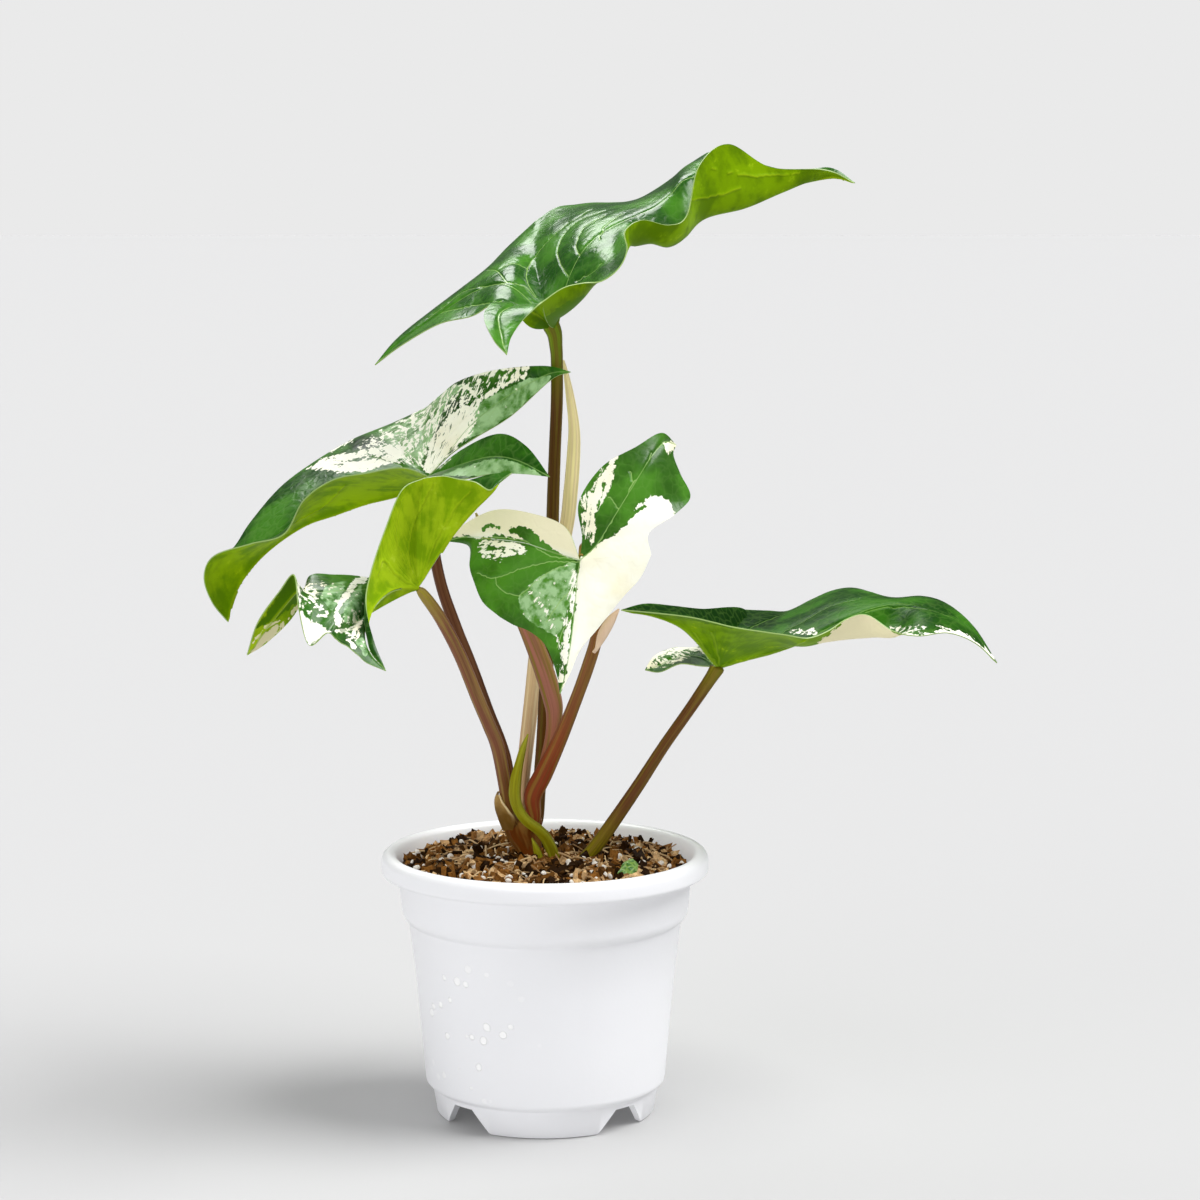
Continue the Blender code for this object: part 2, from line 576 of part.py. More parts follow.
TORN_SCALE = [
    ((499, 791, -2.5), (497, 794, -5.2), (499.5, 795, -8.2)),
    ((497.5, 798, -2), (495.5, 800, -6.2), (503.5, 803, -9)),
    ((498, 806, -1.6), (496.5, 808, -6.6), (510, 811.5, -9.4)),
    ((500, 815, -1), (499.5, 817, -6.2), (515, 819, -9.4)),
    ((503, 830, 0.6), (505, 830, -3.2), (513, 830, -6.2)),
]
SEEDLING_HEART = (627, 872, -26)
SEEDLING_ROWS = [
    ((617, 874, -26), (620, 870, -24), (622, 866, -22)),
    ((621, 877, -27), (626, 868, -24), (628, 860, -21)),
    ((629, 877, -27), (632, 868, -24), (634, 860, -21)),
    ((634, 875, -26), (637, 870, -24), (638, 865, -22)),
]


def sheet(name, stations, paint, origin, turn, steps=3):
    """Thin curved scale through rows of three places."""
    skin = Skin()
    rails = [spots_of(column, stations) for column in range(3)]
    rows = [k / steps for k in range(steps * (len(stations) - 1) + 1)]
    sags = [rails[1][k] - (rails[0][k] + rails[2][k]) / 2 for k in range(len(stations))]
    skin.patch(rails[0], sags, rails[2], rows, 6, False, lambda place: 0.0)
    return finish(name, skin.solid(name, turn), paint, sight(*origin))


def soil_height(x, y):
    """Crumbly top of the potting mix: a low mound with bark-sized bumps."""
    radius = math.hypot(x, y)
    bumps = (math.sin(x * 0.93 + 1.7 * math.sin(y * 0.41)) * math.cos(y * 0.87 + 1.3 * math.sin(x * 0.37))
             + 0.6 * math.sin(x * 1.71 + y * 1.13 + 0.8))
    edge = max(0.0, min(1.0, (49.5 - radius) / 6.0))
    return SOIL_LEVEL + SOIL_MOUND * (1 - (radius / 52.0) ** 2) + SOIL_RELIEF * 0.62 * bumps * (0.35 + 0.65 * edge)


def build_soil():
    """Filled body of potting mix that follows the inside of the pot with a small gap."""
    segments = 44
    gap = FIT_GAP
    inner_top = BODY_TOP_DIAMETER / 2 - WALL
    wall = [(0.0, FLOOR_TOP_Z + gap), (BODY_FOOT_DIAMETER / 2 - WALL - 2.6, FLOOR_TOP_Z + gap),
            (BODY_FOOT_DIAMETER / 2 - WALL - gap - 0.4, FLOOR_TOP_Z + 2.6), (inner_top - gap - 0.1, COLLAR_FOOT_Z - 5.0),
            (COLLAR_FOOT_DIAMETER / 2 - WALL - gap - 0.1, COLLAR_FOOT_Z + 1.4)]
    outer = MOUTH_DIAMETER / 2 - 0.5 - gap - 1.0
    radii = [outer] + [outer * (1 - k / 11) for k in range(1, 11)]
    points, faces, rings = [], [], []
    for radius, height in wall[1:]:
        rings.append(len(points))
        for step in range(segments):
            angle = 2 * math.pi * step / segments
            points.append((radius * math.cos(angle), radius * math.sin(angle), height))
    for radius in radii:
        rings.append(len(points))
        for step in range(segments):
            angle = 2 * math.pi * step / segments
            x, y = radius * math.cos(angle), radius * math.sin(angle)
            points.append((x, y, soil_height(x, y)))
    for first, second in zip(rings, rings[1:]):
        for step in range(segments):
            after = (step + 1) % segments
            faces += [(first + step, first + after, second + after),
                      (first + step, second + after, second + step)]
    points.append((0.0, 0.0, wall[0][1]))
    faces += [(rings[0] + (step + 1) % segments, rings[0] + step, len(points) - 1) for step in range(segments)]
    points.append((0.0, 0.0, soil_height(0.0, 0.0)))
    faces += [(rings[-1] + step, rings[-1] + (step + 1) % segments, len(points) - 1) for step in range(segments)]
    return finish("soil", mesh_from("soil", points, faces), SOIL_MIX, (0.0, 0.0, FLOOR_TOP_Z + gap), False)


def hole_for(stem, stations, soil):
    """Plain hole in the soil around the buried end of a stem."""
    spots = [sight(a, d, y) for a, d, y, r in stations[:2]]
    radius = max(stations[0][3], stations[1][3]) + FIT_GAP * 1.5
    direction = (spots[1] - spots[0]).normalized()
    start = spots[0] - direction * FIT_GAP * 1.5
    length = 26.0
    bpy.ops.mesh.primitive_cylinder_add(vertices=16, radius=mm(radius), depth=mm(length))
    cutter = bpy.context.object
    cutter.name = "hole_for_" + stem
    cutter.rotation_mode = "QUATERNION"
    cutter.rotation_quaternion = direction.to_track_quat("Z", "Y")
    cutter.location = (start + direction * length / 2) * 0.001
    cutter.hide_render = True
    cutter.display_type = "WIRE"
    cut = soil.modifiers.new(cutter.name, "BOOLEAN")
    cut.operation = "DIFFERENCE"
    cut.solver = "EXACT"
    cut.object = cutter
    return cutter


# the whole plant
if "Cube" in bpy.data.objects:
    bpy.data.objects.remove(bpy.data.objects["Cube"], do_unlink=True)
for spare in ("Light", "Camera"):
    if spare in bpy.data.objects:
        bpy.data.objects.remove(bpy.data.objects[spare], do_unlink=True)

pot_piece, notch_cutter = build_pot()
soil_piece = build_soil()
cutters = [notch_cutter]

top_blade = leaf("top_leaf", TOP_HEART, TOP_LOBE_1, TOP_LOBE_2, TOP_BODY, DARK_LEAF, 1)
left_blade = leaf("upper_left_leaf", LEFT_HEART, LEFT_LOBE_1, LEFT_LOBE_2, LEFT_BODY, MARBLED_LEAF, -1)
low_blade = leaf("lower_left_leaf", LOW_HEART, LOW_LOBE_1, LOW_LOBE_2, LOW_BODY, LIME_LEAF, 1)
front_blade = leaf("front_leaf", FRONT_HEART, FRONT_LOBE_1, FRONT_LOBE_2, FRONT_BODY, CREAM_LEAF, -1)
right_blade = leaf("right_leaf", RIGHT_HEART, RIGHT_LOBE_1, RIGHT_LOBE_2, RIGHT_BODY, DARK_LEAF, 1)

base = tube("stem_base", STEM_BASE, BROWN_STEM, sides=16)
tube("top_petiole", TOP_PETIOLE, BROWN_STEM, None, top_blade)
tube("upper_left_petiole", LEFT_PETIOLE, BROWN_STEM, base, left_blade)
tube("lower_left_petiole", LOW_PETIOLE, BROWN_STEM, base, low_blade)
front_stem = tube("front_petiole", FRONT_PETIOLE, RED_STEM, base, front_blade)
tube("right_petiole", RIGHT_PETIOLE, BROWN_STEM, None, right_blade)
tube("dry_sheath", DRY_SHEATH, PALE_SHEATH)
tube("side_sheath", SIDE_SHEATH, RED_STEM)
tube("green_shoot", GREEN_SPEAR, GREEN_SHOOT)
tube("green_scale", GREEN_SCALE, GREEN_SHOOT)
tube("peach_bract", PEACH_STATIONS, PEACH_BRACT, front_stem)
sheet("torn_scale", TORN_SCALE, PALE_SHEATH, TORN_SCALE[0][1], 1)
sheet("seedling", SEEDLING_ROWS, GREEN_SHOOT, SEEDLING_HEART, 1)

cutters.append(hole_for("stem_base", STEM_BASE, soil_piece))
cutters.append(hole_for("right_petiole", RIGHT_PETIOLE, soil_piece))
cutters.append(hole_for("green_shoot", GREEN_SPEAR, soil_piece))
cutters.append(hole_for("green_scale", GREEN_SCALE, soil_piece))

# Everything hangs from one empty, moved so that the whole plant's box stands centred on the origin.
low = Vector((1e9, 1e9, 1e9))
high = -low
for piece in PIECES:
    for vertex in piece.data.vertices:
        spot = vertex.co + piece.location
        low = Vector(min(a, b) for a, b in zip(low, spot))
        high = Vector(max(a, b) for a, b in zip(high, spot))
stand = bpy.data.objects.new("potted_plant", None)
bpy.context.scene.collection.objects.link(stand)
for piece in PIECES + cutters:
    piece.parent = stand
stand.location = (-(low.x + high.x) / 2, -(low.y + high.y) / 2, -low.z)
bpy.context.view_layer.update()
print("size in mm", [round(1000 * v, 1) for v in (high - low)], "pot axis at",
      [round(1000 * v, 1) for v in stand.location])
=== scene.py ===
# %% [markdown]
# # A variegated arrow-leaf plant in its white pot
# The plant has five large leaves on thin stems, and stands in a moulded nursery pot.
# This lesson dresses it piece by piece over a plain model that is already the right size.
# Every part of the lesson works in millimetres from the pot's own axis, because that is how the
# sizes were read, and turns them into metres at the end.

# %% The plain model and its sizes
import math
import random

import bpy
import numpy as np
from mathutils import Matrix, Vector
from mathutils.bvhtree import BVHTree


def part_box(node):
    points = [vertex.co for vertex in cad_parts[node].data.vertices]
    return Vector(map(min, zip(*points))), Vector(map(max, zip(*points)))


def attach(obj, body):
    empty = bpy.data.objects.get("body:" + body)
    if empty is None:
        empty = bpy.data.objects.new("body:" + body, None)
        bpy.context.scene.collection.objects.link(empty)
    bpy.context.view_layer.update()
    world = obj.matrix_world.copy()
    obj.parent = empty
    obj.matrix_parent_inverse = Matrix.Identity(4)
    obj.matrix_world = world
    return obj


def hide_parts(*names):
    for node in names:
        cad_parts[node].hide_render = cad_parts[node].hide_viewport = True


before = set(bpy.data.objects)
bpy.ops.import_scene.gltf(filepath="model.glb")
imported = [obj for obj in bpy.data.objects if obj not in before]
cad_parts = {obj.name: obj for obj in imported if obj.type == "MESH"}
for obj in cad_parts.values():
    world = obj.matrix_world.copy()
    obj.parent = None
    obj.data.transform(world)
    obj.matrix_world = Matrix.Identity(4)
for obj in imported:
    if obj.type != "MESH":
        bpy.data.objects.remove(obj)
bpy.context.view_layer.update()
pot_low, pot_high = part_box("pot")
AXIS = np.array([(pot_low.x + pot_high.x) / 2, (pot_low.y + pot_high.y) / 2, 0.0])

# %% [markdown]
# ## Where the camera stands
# A leaf has no straight edge to measure, so the camera comes first. It is found from the pot: its
# rim, groove and foot are circles, and a circle's flattening tells how far the camera looks down.
# After that a place in the picture and a depth behind the pot's axis give one point in space.

# %% Camera, and places in the picture
MM = 0.001                  # one millimetre in metres
PICTURE = 1200.0            # picture units across
SENSOR = 36.0
FOCAL = 3000.0              # in picture units, as a 90 mm lens has on this sensor
PITCH = math.radians(7.24)
EYE = np.array([20.2, -1082.1, 327.0])


def metres(point):
    return np.asarray(point, dtype=float) * MM + AXIS


def sight(places):
    """Points in millimetres for rows of (across, down, depth behind the axis)."""
    across, down, depth = np.asarray(places, dtype=float).T
    up = (PICTURE / 2 - down) / FOCAL
    reach = (depth - EYE[1]) / (math.cos(PITCH) + up * math.sin(PITCH))
    x = EYE[0] + (across - PICTURE / 2) / FOCAL * reach
    z = EYE[2] + reach * (up * math.cos(PITCH) - math.sin(PITCH))
    return np.stack([x, depth, z], axis=-1)


def in_picture(points):
    """The other way: (across, down) of points in millimetres, and how far off they are."""
    offset = np.asarray(points) - EYE
    ahead = offset[:, 1] * math.cos(PITCH) - offset[:, 2] * math.sin(PITCH)
    up = (offset[:, 1] * math.sin(PITCH) + offset[:, 2] * math.cos(PITCH)) / ahead
    across = PICTURE / 2 + FOCAL * offset[:, 0] / ahead
    return np.stack([across, PICTURE / 2 - FOCAL * up], axis=-1), ahead


camera_data = bpy.data.cameras.new("camera")
camera_data.lens = FOCAL / PICTURE * SENSOR
camera_data.sensor_width = SENSOR
camera = bpy.data.objects.new("camera", camera_data)
camera.location = metres(EYE)
camera.rotation_euler = (math.radians(90) - PITCH, 0.0, 0.0)
bpy.context.scene.collection.objects.link(camera)
bpy.context.scene.camera = camera
print("camera at", tuple(round(v, 3) for v in camera.location), "lens", camera_data.lens)

# %% [markdown]
# ## Writing materials as sums
# A material is a graph of nodes, and a graph is hard to read in a script. Here a small class stands
# for one socket, so that masks are written as sums and products, and each adds its own node.

# %% Sums of sockets
class Signal:
    def __init__(self, graph, socket):
        self.graph = graph
        self.socket = socket

    def maths(self, operation, *values):
        return self.graph.node("ShaderNodeMath", {"operation": operation}, dict(enumerate(values)))

    def __add__(self, other):
        return self.maths("ADD", self, other)

    def __radd__(self, other):
        return self.maths("ADD", other, self)

    def __sub__(self, other):
        return self.maths("SUBTRACT", self, other)

    def __rsub__(self, other):
        return self.maths("SUBTRACT", other, self)

    def __mul__(self, other):
        return self.maths("MULTIPLY", self, other)

    def __rmul__(self, other):
        return self.maths("MULTIPLY", other, self)

    def higher_of(self, other):
        return self.maths("MAXIMUM", self, other)

    def rise(self, start, end):
        """0 below start, 1 above end, with a soft step between."""
        return self.graph.node("ShaderNodeMapRange", {"interpolation_type": "SMOOTHSTEP"},
                               {0: self, 1: start, 2: end, 3: 0.0, 4: 1.0})

    def fall(self, start, end):
        """1 below start, 0 above end."""
        return self.graph.node("ShaderNodeMapRange", {"interpolation_type": "SMOOTHSTEP"},
                               {0: self, 1: start, 2: end, 3: 1.0, 4: 0.0})


class Graph:
    """A tree of nodes, of a material or of the sky."""

    def __init__(self, tree):
        self.tree = tree

    def node(self, kind, settings, inputs, output=0):
        made = self.tree.nodes.new(kind)
        for key, value in settings.items():
            setattr(made, key, value)
        for key, value in inputs.items():
            if isinstance(value, Signal):
                self.tree.links.new(value.socket, made.inputs[key])
            else:
                made.inputs[key].default_value = value
        return Signal(self, made.outputs[output])

    def mix(self, share, first, second):
        """First colour where share is 0, second where it is 1."""
        first, second = [(*c, 1.0) if isinstance(c, tuple) else c for c in (first, second)]
        return self.node("ShaderNodeMix", {"data_type": "RGBA"}, {0: share, 6: first, 7: second}, 2)


def darker(colour, share):
    return tuple(share * channel for channel in colour)


print("sums of sockets ready")

# %% [markdown]
# The finish of a piece is such a graph. It offers the few things that plant and pot need: noise at
# a size in millimetres, a painted value of the mesh, and a bump. `shine` is how much light the
# surface mirrors: 0.5 is clear plastic or wax, and a leaf's dull lower side has hardly any.

# %% A finish
class Finish(Graph):
    def __init__(self, name, roughness, shine=0.5):
        self.material = bpy.data.materials.new(name)
        self.material.use_nodes = True
        super().__init__(self.material.node_tree)
        self.shader = self.tree.nodes["Principled BSDF"]
        self.shader.inputs["Roughness"].default_value = roughness
        self.shader.inputs["Specular IOR Level"].default_value = shine
        self.place = self.node("ShaderNodeTexCoord", {}, {}, "Object")

    def stretched(self, x, y, z):
        """Object coordinates, stretched so that a pattern runs long on one axis."""
        return self.node("ShaderNodeVectorMath", {"operation": "MULTIPLY"},
                         {0: self.place, 1: (x, y, z)})

    def noise(self, size, detail=3.0, rough=0.55, where=None):
        """Cloudy value round 0.5, with spots about `size` millimetres wide."""
        return self.node("ShaderNodeTexNoise", {}, {
            "Vector": where or self.place, "Scale": 1000.0 / size / 2.0, "Detail": detail,
            "Roughness": rough}, 0)

    def net(self, size, where=None):
        """Distance to the nearest line of a net whose meshes are `size` millimetres wide."""
        return self.node("ShaderNodeTexVoronoi", {"feature": "DISTANCE_TO_EDGE"},
                         {"Vector": where or self.place, "Scale": 1000.0 / size}, 0)

    def painted(self, name):
        return self.node("ShaderNodeAttribute", {"attribute_name": name}, {}, "Fac")

    def bump(self, height, depth):
        """Height 1 stands `depth` millimetres above height 0."""
        normal = self.node("ShaderNodeBump", {},
                           {"Strength": 1.0, "Distance": depth * MM, "Height": height})
        self.tree.links.new(normal.socket, self.shader.inputs["Normal"])

    def feed(self, name, value):
        """Give a socket of the shader a changing value, a colour or a number."""
        if isinstance(value, Signal):
            self.tree.links.new(value.socket, self.shader.inputs[name])
        else:
            value = (*value, 1.0) if isinstance(value, tuple) else value
            self.shader.inputs[name].default_value = value


print("finishes ready")

# %% [markdown]
# ## The pot
# A nursery pot is blown or injected in one mould, so it is a turned shape with a few cuts. By hand
# it would be drawn as a circle that is pulled up ring after ring, out for the lip and down again
# inside. The same is done here: each step extrudes the open ring, lifts it and widens it.

# %% Turning a shape from a circle
def nothing_selected():
    if bpy.context.object and bpy.context.object.mode != "OBJECT":
        bpy.ops.object.mode_set(mode="OBJECT")
    bpy.ops.object.select_all(action="DESELECT")


def only(thing):
    """Select one object alone and make it the active one."""
    nothing_selected()
    thing.select_set(True)
    bpy.context.view_layer.objects.active = thing


def edit_all():
    """Go into edit mode with everything selected."""
    bpy.ops.object.mode_set(mode="EDIT")
    bpy.ops.mesh.select_all(action="SELECT")


def turn_shape(name, outline, segments):
    nothing_selected()
    radius, height = outline[0]
    bpy.ops.mesh.primitive_circle_add(vertices=segments, radius=radius * MM,
                                      fill_type="TRIFAN", location=metres((0, 0, height)))
    shape = bpy.context.object
    shape.name = name
    bpy.ops.object.transform_apply(location=True, rotation=True, scale=True)
    edit_all()
    bpy.ops.mesh.region_to_loop()
    for next_radius, next_height in outline[1:]:
        bpy.ops.mesh.extrude_edges_move()
        bpy.ops.transform.translate(value=(0, 0, (next_height - height) * MM))
        grow = next_radius / radius
        bpy.ops.transform.resize(value=(grow, grow, 1), center_override=metres((0, 0, next_height)))
        radius, height = next_radius, next_height
    bpy.ops.mesh.edge_face_add()
    bpy.ops.mesh.poke()
    bpy.ops.mesh.select_all(action="SELECT")
    bpy.ops.mesh.normals_make_consistent(inside=False)
    bpy.ops.object.mode_set(mode="OBJECT")
    return shape


def arc(cx, cz, radius, start, end, count):
    """Outline points on an arc, with angles in degrees from the outward direction."""
    angles = [math.radians(start + (end - start) * k / count) for k in range(count + 1)]
    return [(cx + radius * math.cos(a), cz + radius * math.sin(a)) for a in angles]


# %% [markdown]
# The outline starts under the floor, goes down the foot ring, up the wall and over the lip, and
# comes back down inside. Small arcs round the lip, the groove and the foot, as moulded plastic has
# no sharp corner, and each catches a thin line of light.

# %% The pot's outline
RIM = 60.0                  # the lip's outer radius: a 12 cm pot
POT_TOP = 97.0
LIP_BOTTOM = 89.3
LIP_UNDER = 1.6             # radius of the lip's lower edge
LIP_OVER = 3.0              # radius of its upper edge
foot_ring = [(34.0, 9.6), (38.2, 9.6), (37.4, 0.5), (37.9, 0.0), (39.7, 0.0), (40.2, 0.5), (41.7, 9.6)]
wall = [(41.9, 10.1), (42.6, 10.7), (43.5, 11.2), (44.1, 11.9), (44.3, 13.0), (45.7, 30.0),
        (47.7, 52.0), (50.0, 71.4)]
collar = [(50.3, 72.0), (50.8, 72.3), (51.7, 73.4), (52.3, 74.6), (52.6, 76.0), (53.9, 88.8),
          (54.2, 89.1), (57.6, 89.2)]
lip = arc(RIM - LIP_UNDER, LIP_BOTTOM + LIP_UNDER, LIP_UNDER, -80, 0, 6)
lip += [(RIM, 92.4), (RIM, POT_TOP - LIP_OVER)]
lip += arc(RIM - LIP_OVER, POT_TOP - LIP_OVER, LIP_OVER, 12, 90, 8)
inside = [(RIM - 4.0, POT_TOP - 0.1), (RIM - 5.0, POT_TOP - 0.7), (54.4, 95.2), (54.0, 93.4),
          (50.6, 77.0), (48.2, 71.0), (42.2, 14.6), (40.2, 12.6)]
pot = turn_shape("pot_dressed", foot_ring + wall + collar + lip + inside, 240)
print("pot has", len(pot.data.polygons), "faces")

# %% [markdown]
# Four gaps part the foot ring, so that water can run off. Each is cut by a Boolean with a block
# whose top face is drawn in first, so that the gap narrows upwards.

# %% Cutting the feet apart
FOOT_RADIUS = 40.0
GAP_DEPTH, GAP_WIDTH, GAP_HEIGHT = 13.0, 23.0, 8.8
GAP_MIDDLE = 4.0            # height of the block's middle
GAP_TOP_WIDTH = 9.0
for index in range(4):
    nothing_selected()
    angle = math.radians(45 + 90 * index)
    centre = metres((FOOT_RADIUS * math.cos(angle), FOOT_RADIUS * math.sin(angle), GAP_MIDDLE))
    bpy.ops.mesh.primitive_cube_add(size=MM, location=centre, rotation=(0, 0, angle))
    block = bpy.context.object
    edit_all()
    bpy.ops.transform.resize(value=(GAP_DEPTH, GAP_WIDTH, GAP_HEIGHT), orient_type="LOCAL",
                             center_override=centre)
    bpy.ops.mesh.select_mode(type="VERT")
    bpy.ops.mesh.select_all(action="DESELECT")
    bpy.ops.object.mode_set(mode="OBJECT")
    for vertex in block.data.vertices:
        vertex.select = vertex.co.z > 0
    bpy.ops.object.mode_set(mode="EDIT")
    bpy.ops.transform.resize(value=(1.0, GAP_TOP_WIDTH / GAP_WIDTH, 1.0), orient_type="LOCAL",
                             center_override=centre)
    bpy.ops.object.mode_set(mode="OBJECT")
    cut = pot.modifiers.new("foot_gap", "BOOLEAN")
    cut.operation = "DIFFERENCE"
    cut.solver = "EXACT"
    cut.object = block
    only(pot)
    bpy.ops.object.modifier_apply(modifier="foot_gap")
    bpy.data.objects.remove(block, do_unlink=True)
bpy.ops.object.shade_smooth_by_angle(angle=math.radians(40))
print("pot cut,", len(pot.data.polygons), "faces")

# %% [markdown]
# White plastic is never one flat white. It is slightly cool, faintly uneven where it cooled, and
# this pot has a few dried splashes low on its front.

# %% White moulded plastic
plastic = Finish("white_moulded_plastic", roughness=0.36, shine=0.35)
cloud = plastic.noise(38.0, detail=2.0)
grain = plastic.noise(0.9, detail=2.0)
body = plastic.mix(cloud, (0.855, 0.86, 0.885), (0.905, 0.905, 0.925))
drops = plastic.node("ShaderNodeTexVoronoi", {"feature": "F1"},
                     {"Vector": plastic.place, "Scale": 150.0}, 0)
SPLASH_MIDDLE = (-28.0, -36.0, 38.0)
splashed = plastic.node("ShaderNodeVectorMath", {"operation": "DISTANCE"},
                        {0: plastic.place, 1: tuple(metres(SPLASH_MIDDLE))}, 1)
splash = (drops + plastic.noise(6.0) * 0.5).fall(0.41, 0.47) * splashed.fall(0.016, 0.034)
plastic.feed("Base Color", plastic.mix(splash, body, (1.0, 1.0, 1.0)))
plastic.feed("Roughness", 0.32 + cloud * 0.10 + grain * 0.04)
plastic.bump(grain * 0.25 + cloud + splash * 2.0, 0.12)
pot.data.materials.clear()
pot.data.materials.append(plastic.material)
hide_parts("pot")
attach(pot, "root")
print("pot dressed")

# %% [markdown]
# ## Sheets from a grid
# A leaf blade, a stem and a dry sheath are all sheets: flat, or closed into a tube. Each starts as
# a grid, which brings its own UV map, and every point of the grid is then moved to its place. The
# curves go through listed stations, and a Catmull-Rom curve passes smoothly through each of them.

# %% Curves through stations, and shaped grids
def curve(points, places):
    points = np.asarray(points, dtype=float)
    padded = np.concatenate([[points[0] * 2 - points[1]], points, [points[-1] * 2 - points[-2]]])
    places = np.asarray(places, dtype=float)
    index = np.clip(places.astype(int), 0, len(points) - 2)
    t = (places - index)[:, None]
    p0, p1, p2, p3 = (padded[index + k] for k in range(4))
    return 0.5 * (2 * p1 + (p2 - p0) * t + (2 * p0 - 5 * p1 + 4 * p2 - p3) * t ** 2
                  + (3 * p1 - p0 - 3 * p2 + p3) * t ** 3)


def even_places(rails, spacing):
    """Places along the rails, close enough that no step is longer than `spacing`."""
    places = []
    for k in range(len(rails[0]) - 1):
        gap = max(np.linalg.norm(np.asarray(rail[k + 1]) - np.asarray(rail[k])) for rail in rails)
        count = max(2, int(math.ceil(gap / spacing)))
        places += [k + step / count for step in range(count)]
    return np.array(places + [len(rails[0]) - 1.0])


def write_values(mesh, name, values):
    """Keep one number for each point of a mesh, for its material to read."""
    layer = mesh.attributes.get(name) or mesh.attributes.new(name, "FLOAT", "POINT")
    layer.data.foreach_set("value", np.ascontiguousarray(values, dtype=np.float32).ravel())


def shaped_grid(name, grid, flip, values):
    """A grid primitive whose points are moved to `grid`, an array of rows, columns and xyz."""
    rows, columns = grid.shape[:2]
    nothing_selected()
    bpy.ops.mesh.primitive_grid_add(x_subdivisions=columns - 1, y_subdivisions=rows - 1, size=2)
    sheet = bpy.context.object
    sheet.name = name
    sheet.data.vertices.foreach_set("co", metres(grid.reshape(-1, 3)).ravel())
    for key, value in values.items():
        write_values(sheet.data, key, value)
    if flip:
        sheet.data.flip_normals()
    return sheet


def joined(name, sheets, merge=0.02):
    """One object from several, with points closer than `merge` millimetres made one."""
    nothing_selected()
    for sheet in sheets:
        sheet.select_set(True)
    bpy.context.view_layer.objects.active = sheets[0]
    if len(sheets) > 1:
        bpy.ops.object.join()
    whole = bpy.context.object
    whole.name = name
    if merge:
        edit_all()
        bpy.ops.mesh.remove_doubles(threshold=merge * MM)
        bpy.ops.object.mode_set(mode="OBJECT")
    return whole


print("grid tools ready")

# %% [markdown]
# ## What is painted on a leaf
# Veins, cream streaks and marbled areas are lines and outlines given in the picture. For each
# point of a leaf they become one number: how deep it lies inside an area, or how far it is from a
# line, in millimetres. A smooth number can be cut sharply in the material at any size, and a noise
# that is added first makes the edge as ragged as real variegation.

# %% Distances to lines and areas
def dense(line, step):
    """The line's points, with others between them about a step apart."""
    line = np.asarray(line, dtype=float)
    parts = []
    for a, b in zip(line, line[1:]):
        count = max(1, int(np.linalg.norm(b - a) / step))
        parts += [a + (b - a) * k / count for k in range(count)]
    return np.array(parts + [line[-1]])


def smooth_line(line):
    line = np.asarray(line, dtype=float)
    return curve(line, np.linspace(0, len(line) - 1, 6 * len(line)))


def distance_to_line(points, line):
    best = np.full(len(points), 1e9)
    for a, b in zip(line, line[1:]):
        along = b - a
        length = max(float(along @ along), 1e-9)
        t = np.clip((points - a) @ along / length, 0, 1)[:, None]
        best = np.minimum(best, np.linalg.norm(points - a - t * along, axis=1))
    return best


def depth_in_area(points, outline):
    """Positive inside a closed outline, negative outside, in the outline's own units."""
    outline = np.asarray(outline, dtype=float)
    inside = np.zeros(len(points), dtype=bool)
    x, y = points[:, 0], points[:, 1]
    for a, b in zip(outline, np.roll(outline, -1, axis=0)):
        crosses = (a[1] > y) != (b[1] > y)
        slope = (b[0] - a[0]) / ((b[1] - a[1]) if abs(b[1] - a[1]) > 1e-9 else 1e-9)
        inside ^= crosses & (x < a[0] + slope * (y - a[1]))
    edge = distance_to_line(points, np.concatenate([outline, outline[:1]]))
    return np.where(inside, edge, -edge)


print("distances ready")

# %% [markdown]
# A class keeps a leaf's points and where each shows in the picture, so that every line and area is
# laid on the leaf in the same way. Where the leaf folds over itself, the nearest point counts.

# %% Painting
MM_PER_UNIT = 0.36          # size of one picture unit at the plant
LAY_STEP = 1.2              # picture units between the points of a laid line
FAR = 30.0                  # further off than any marking reaches


class Paint:
    """Values of a leaf's points, from lines and areas that are seen in the picture."""

    def __init__(self, points, halves):
        self.points = points
        self.halves = halves
        self.flat, self.off = in_picture(points)

    def on_leaf(self, line):
        """A line in the picture, laid on the leaf's nearest visible points."""
        laid = []
        for place in dense(smooth_line(line), LAY_STEP):
            gap = np.linalg.norm(self.flat - place, axis=1)
            near = np.flatnonzero(gap < gap.min() + LAY_STEP)
            laid.append(self.points[near[np.argmin(self.off[near])]])
        laid = np.array(laid)
        soft = laid.copy()
        soft[1:-1] = (laid[:-2] + laid[1:-1] * 2 + laid[2:]) / 4
        return soft

    def laid(self, lines):
        return [self.on_leaf(line) for line in lines]

    def on_half(self, half):
        return (half == 0) | (self.halves == half)

    def areas(self, areas, streaks, holes):
        """Depth inside any of the areas or streaks and outside the holes, in millimetres.

        An area is (half, outline) and a streak is (half, half width, line); half 0 is both halves.
        """
        best = np.full(len(self.points), -FAR)
        for half, outline in areas:
            value = depth_in_area(self.flat, outline) * MM_PER_UNIT
            best = np.where(self.on_half(half), np.maximum(best, value), best)
        for half, width, line in streaks:
            value = (width - distance_to_line(self.flat, smooth_line(line))) * MM_PER_UNIT
            best = np.where(self.on_half(half), np.maximum(best, value), best)
        for half, width, line in holes:
            value = (distance_to_line(self.flat, smooth_line(line)) - width) * MM_PER_UNIT
            best = np.where(self.on_half(half), np.minimum(best, value), best)
        return best


print("painting tools ready")

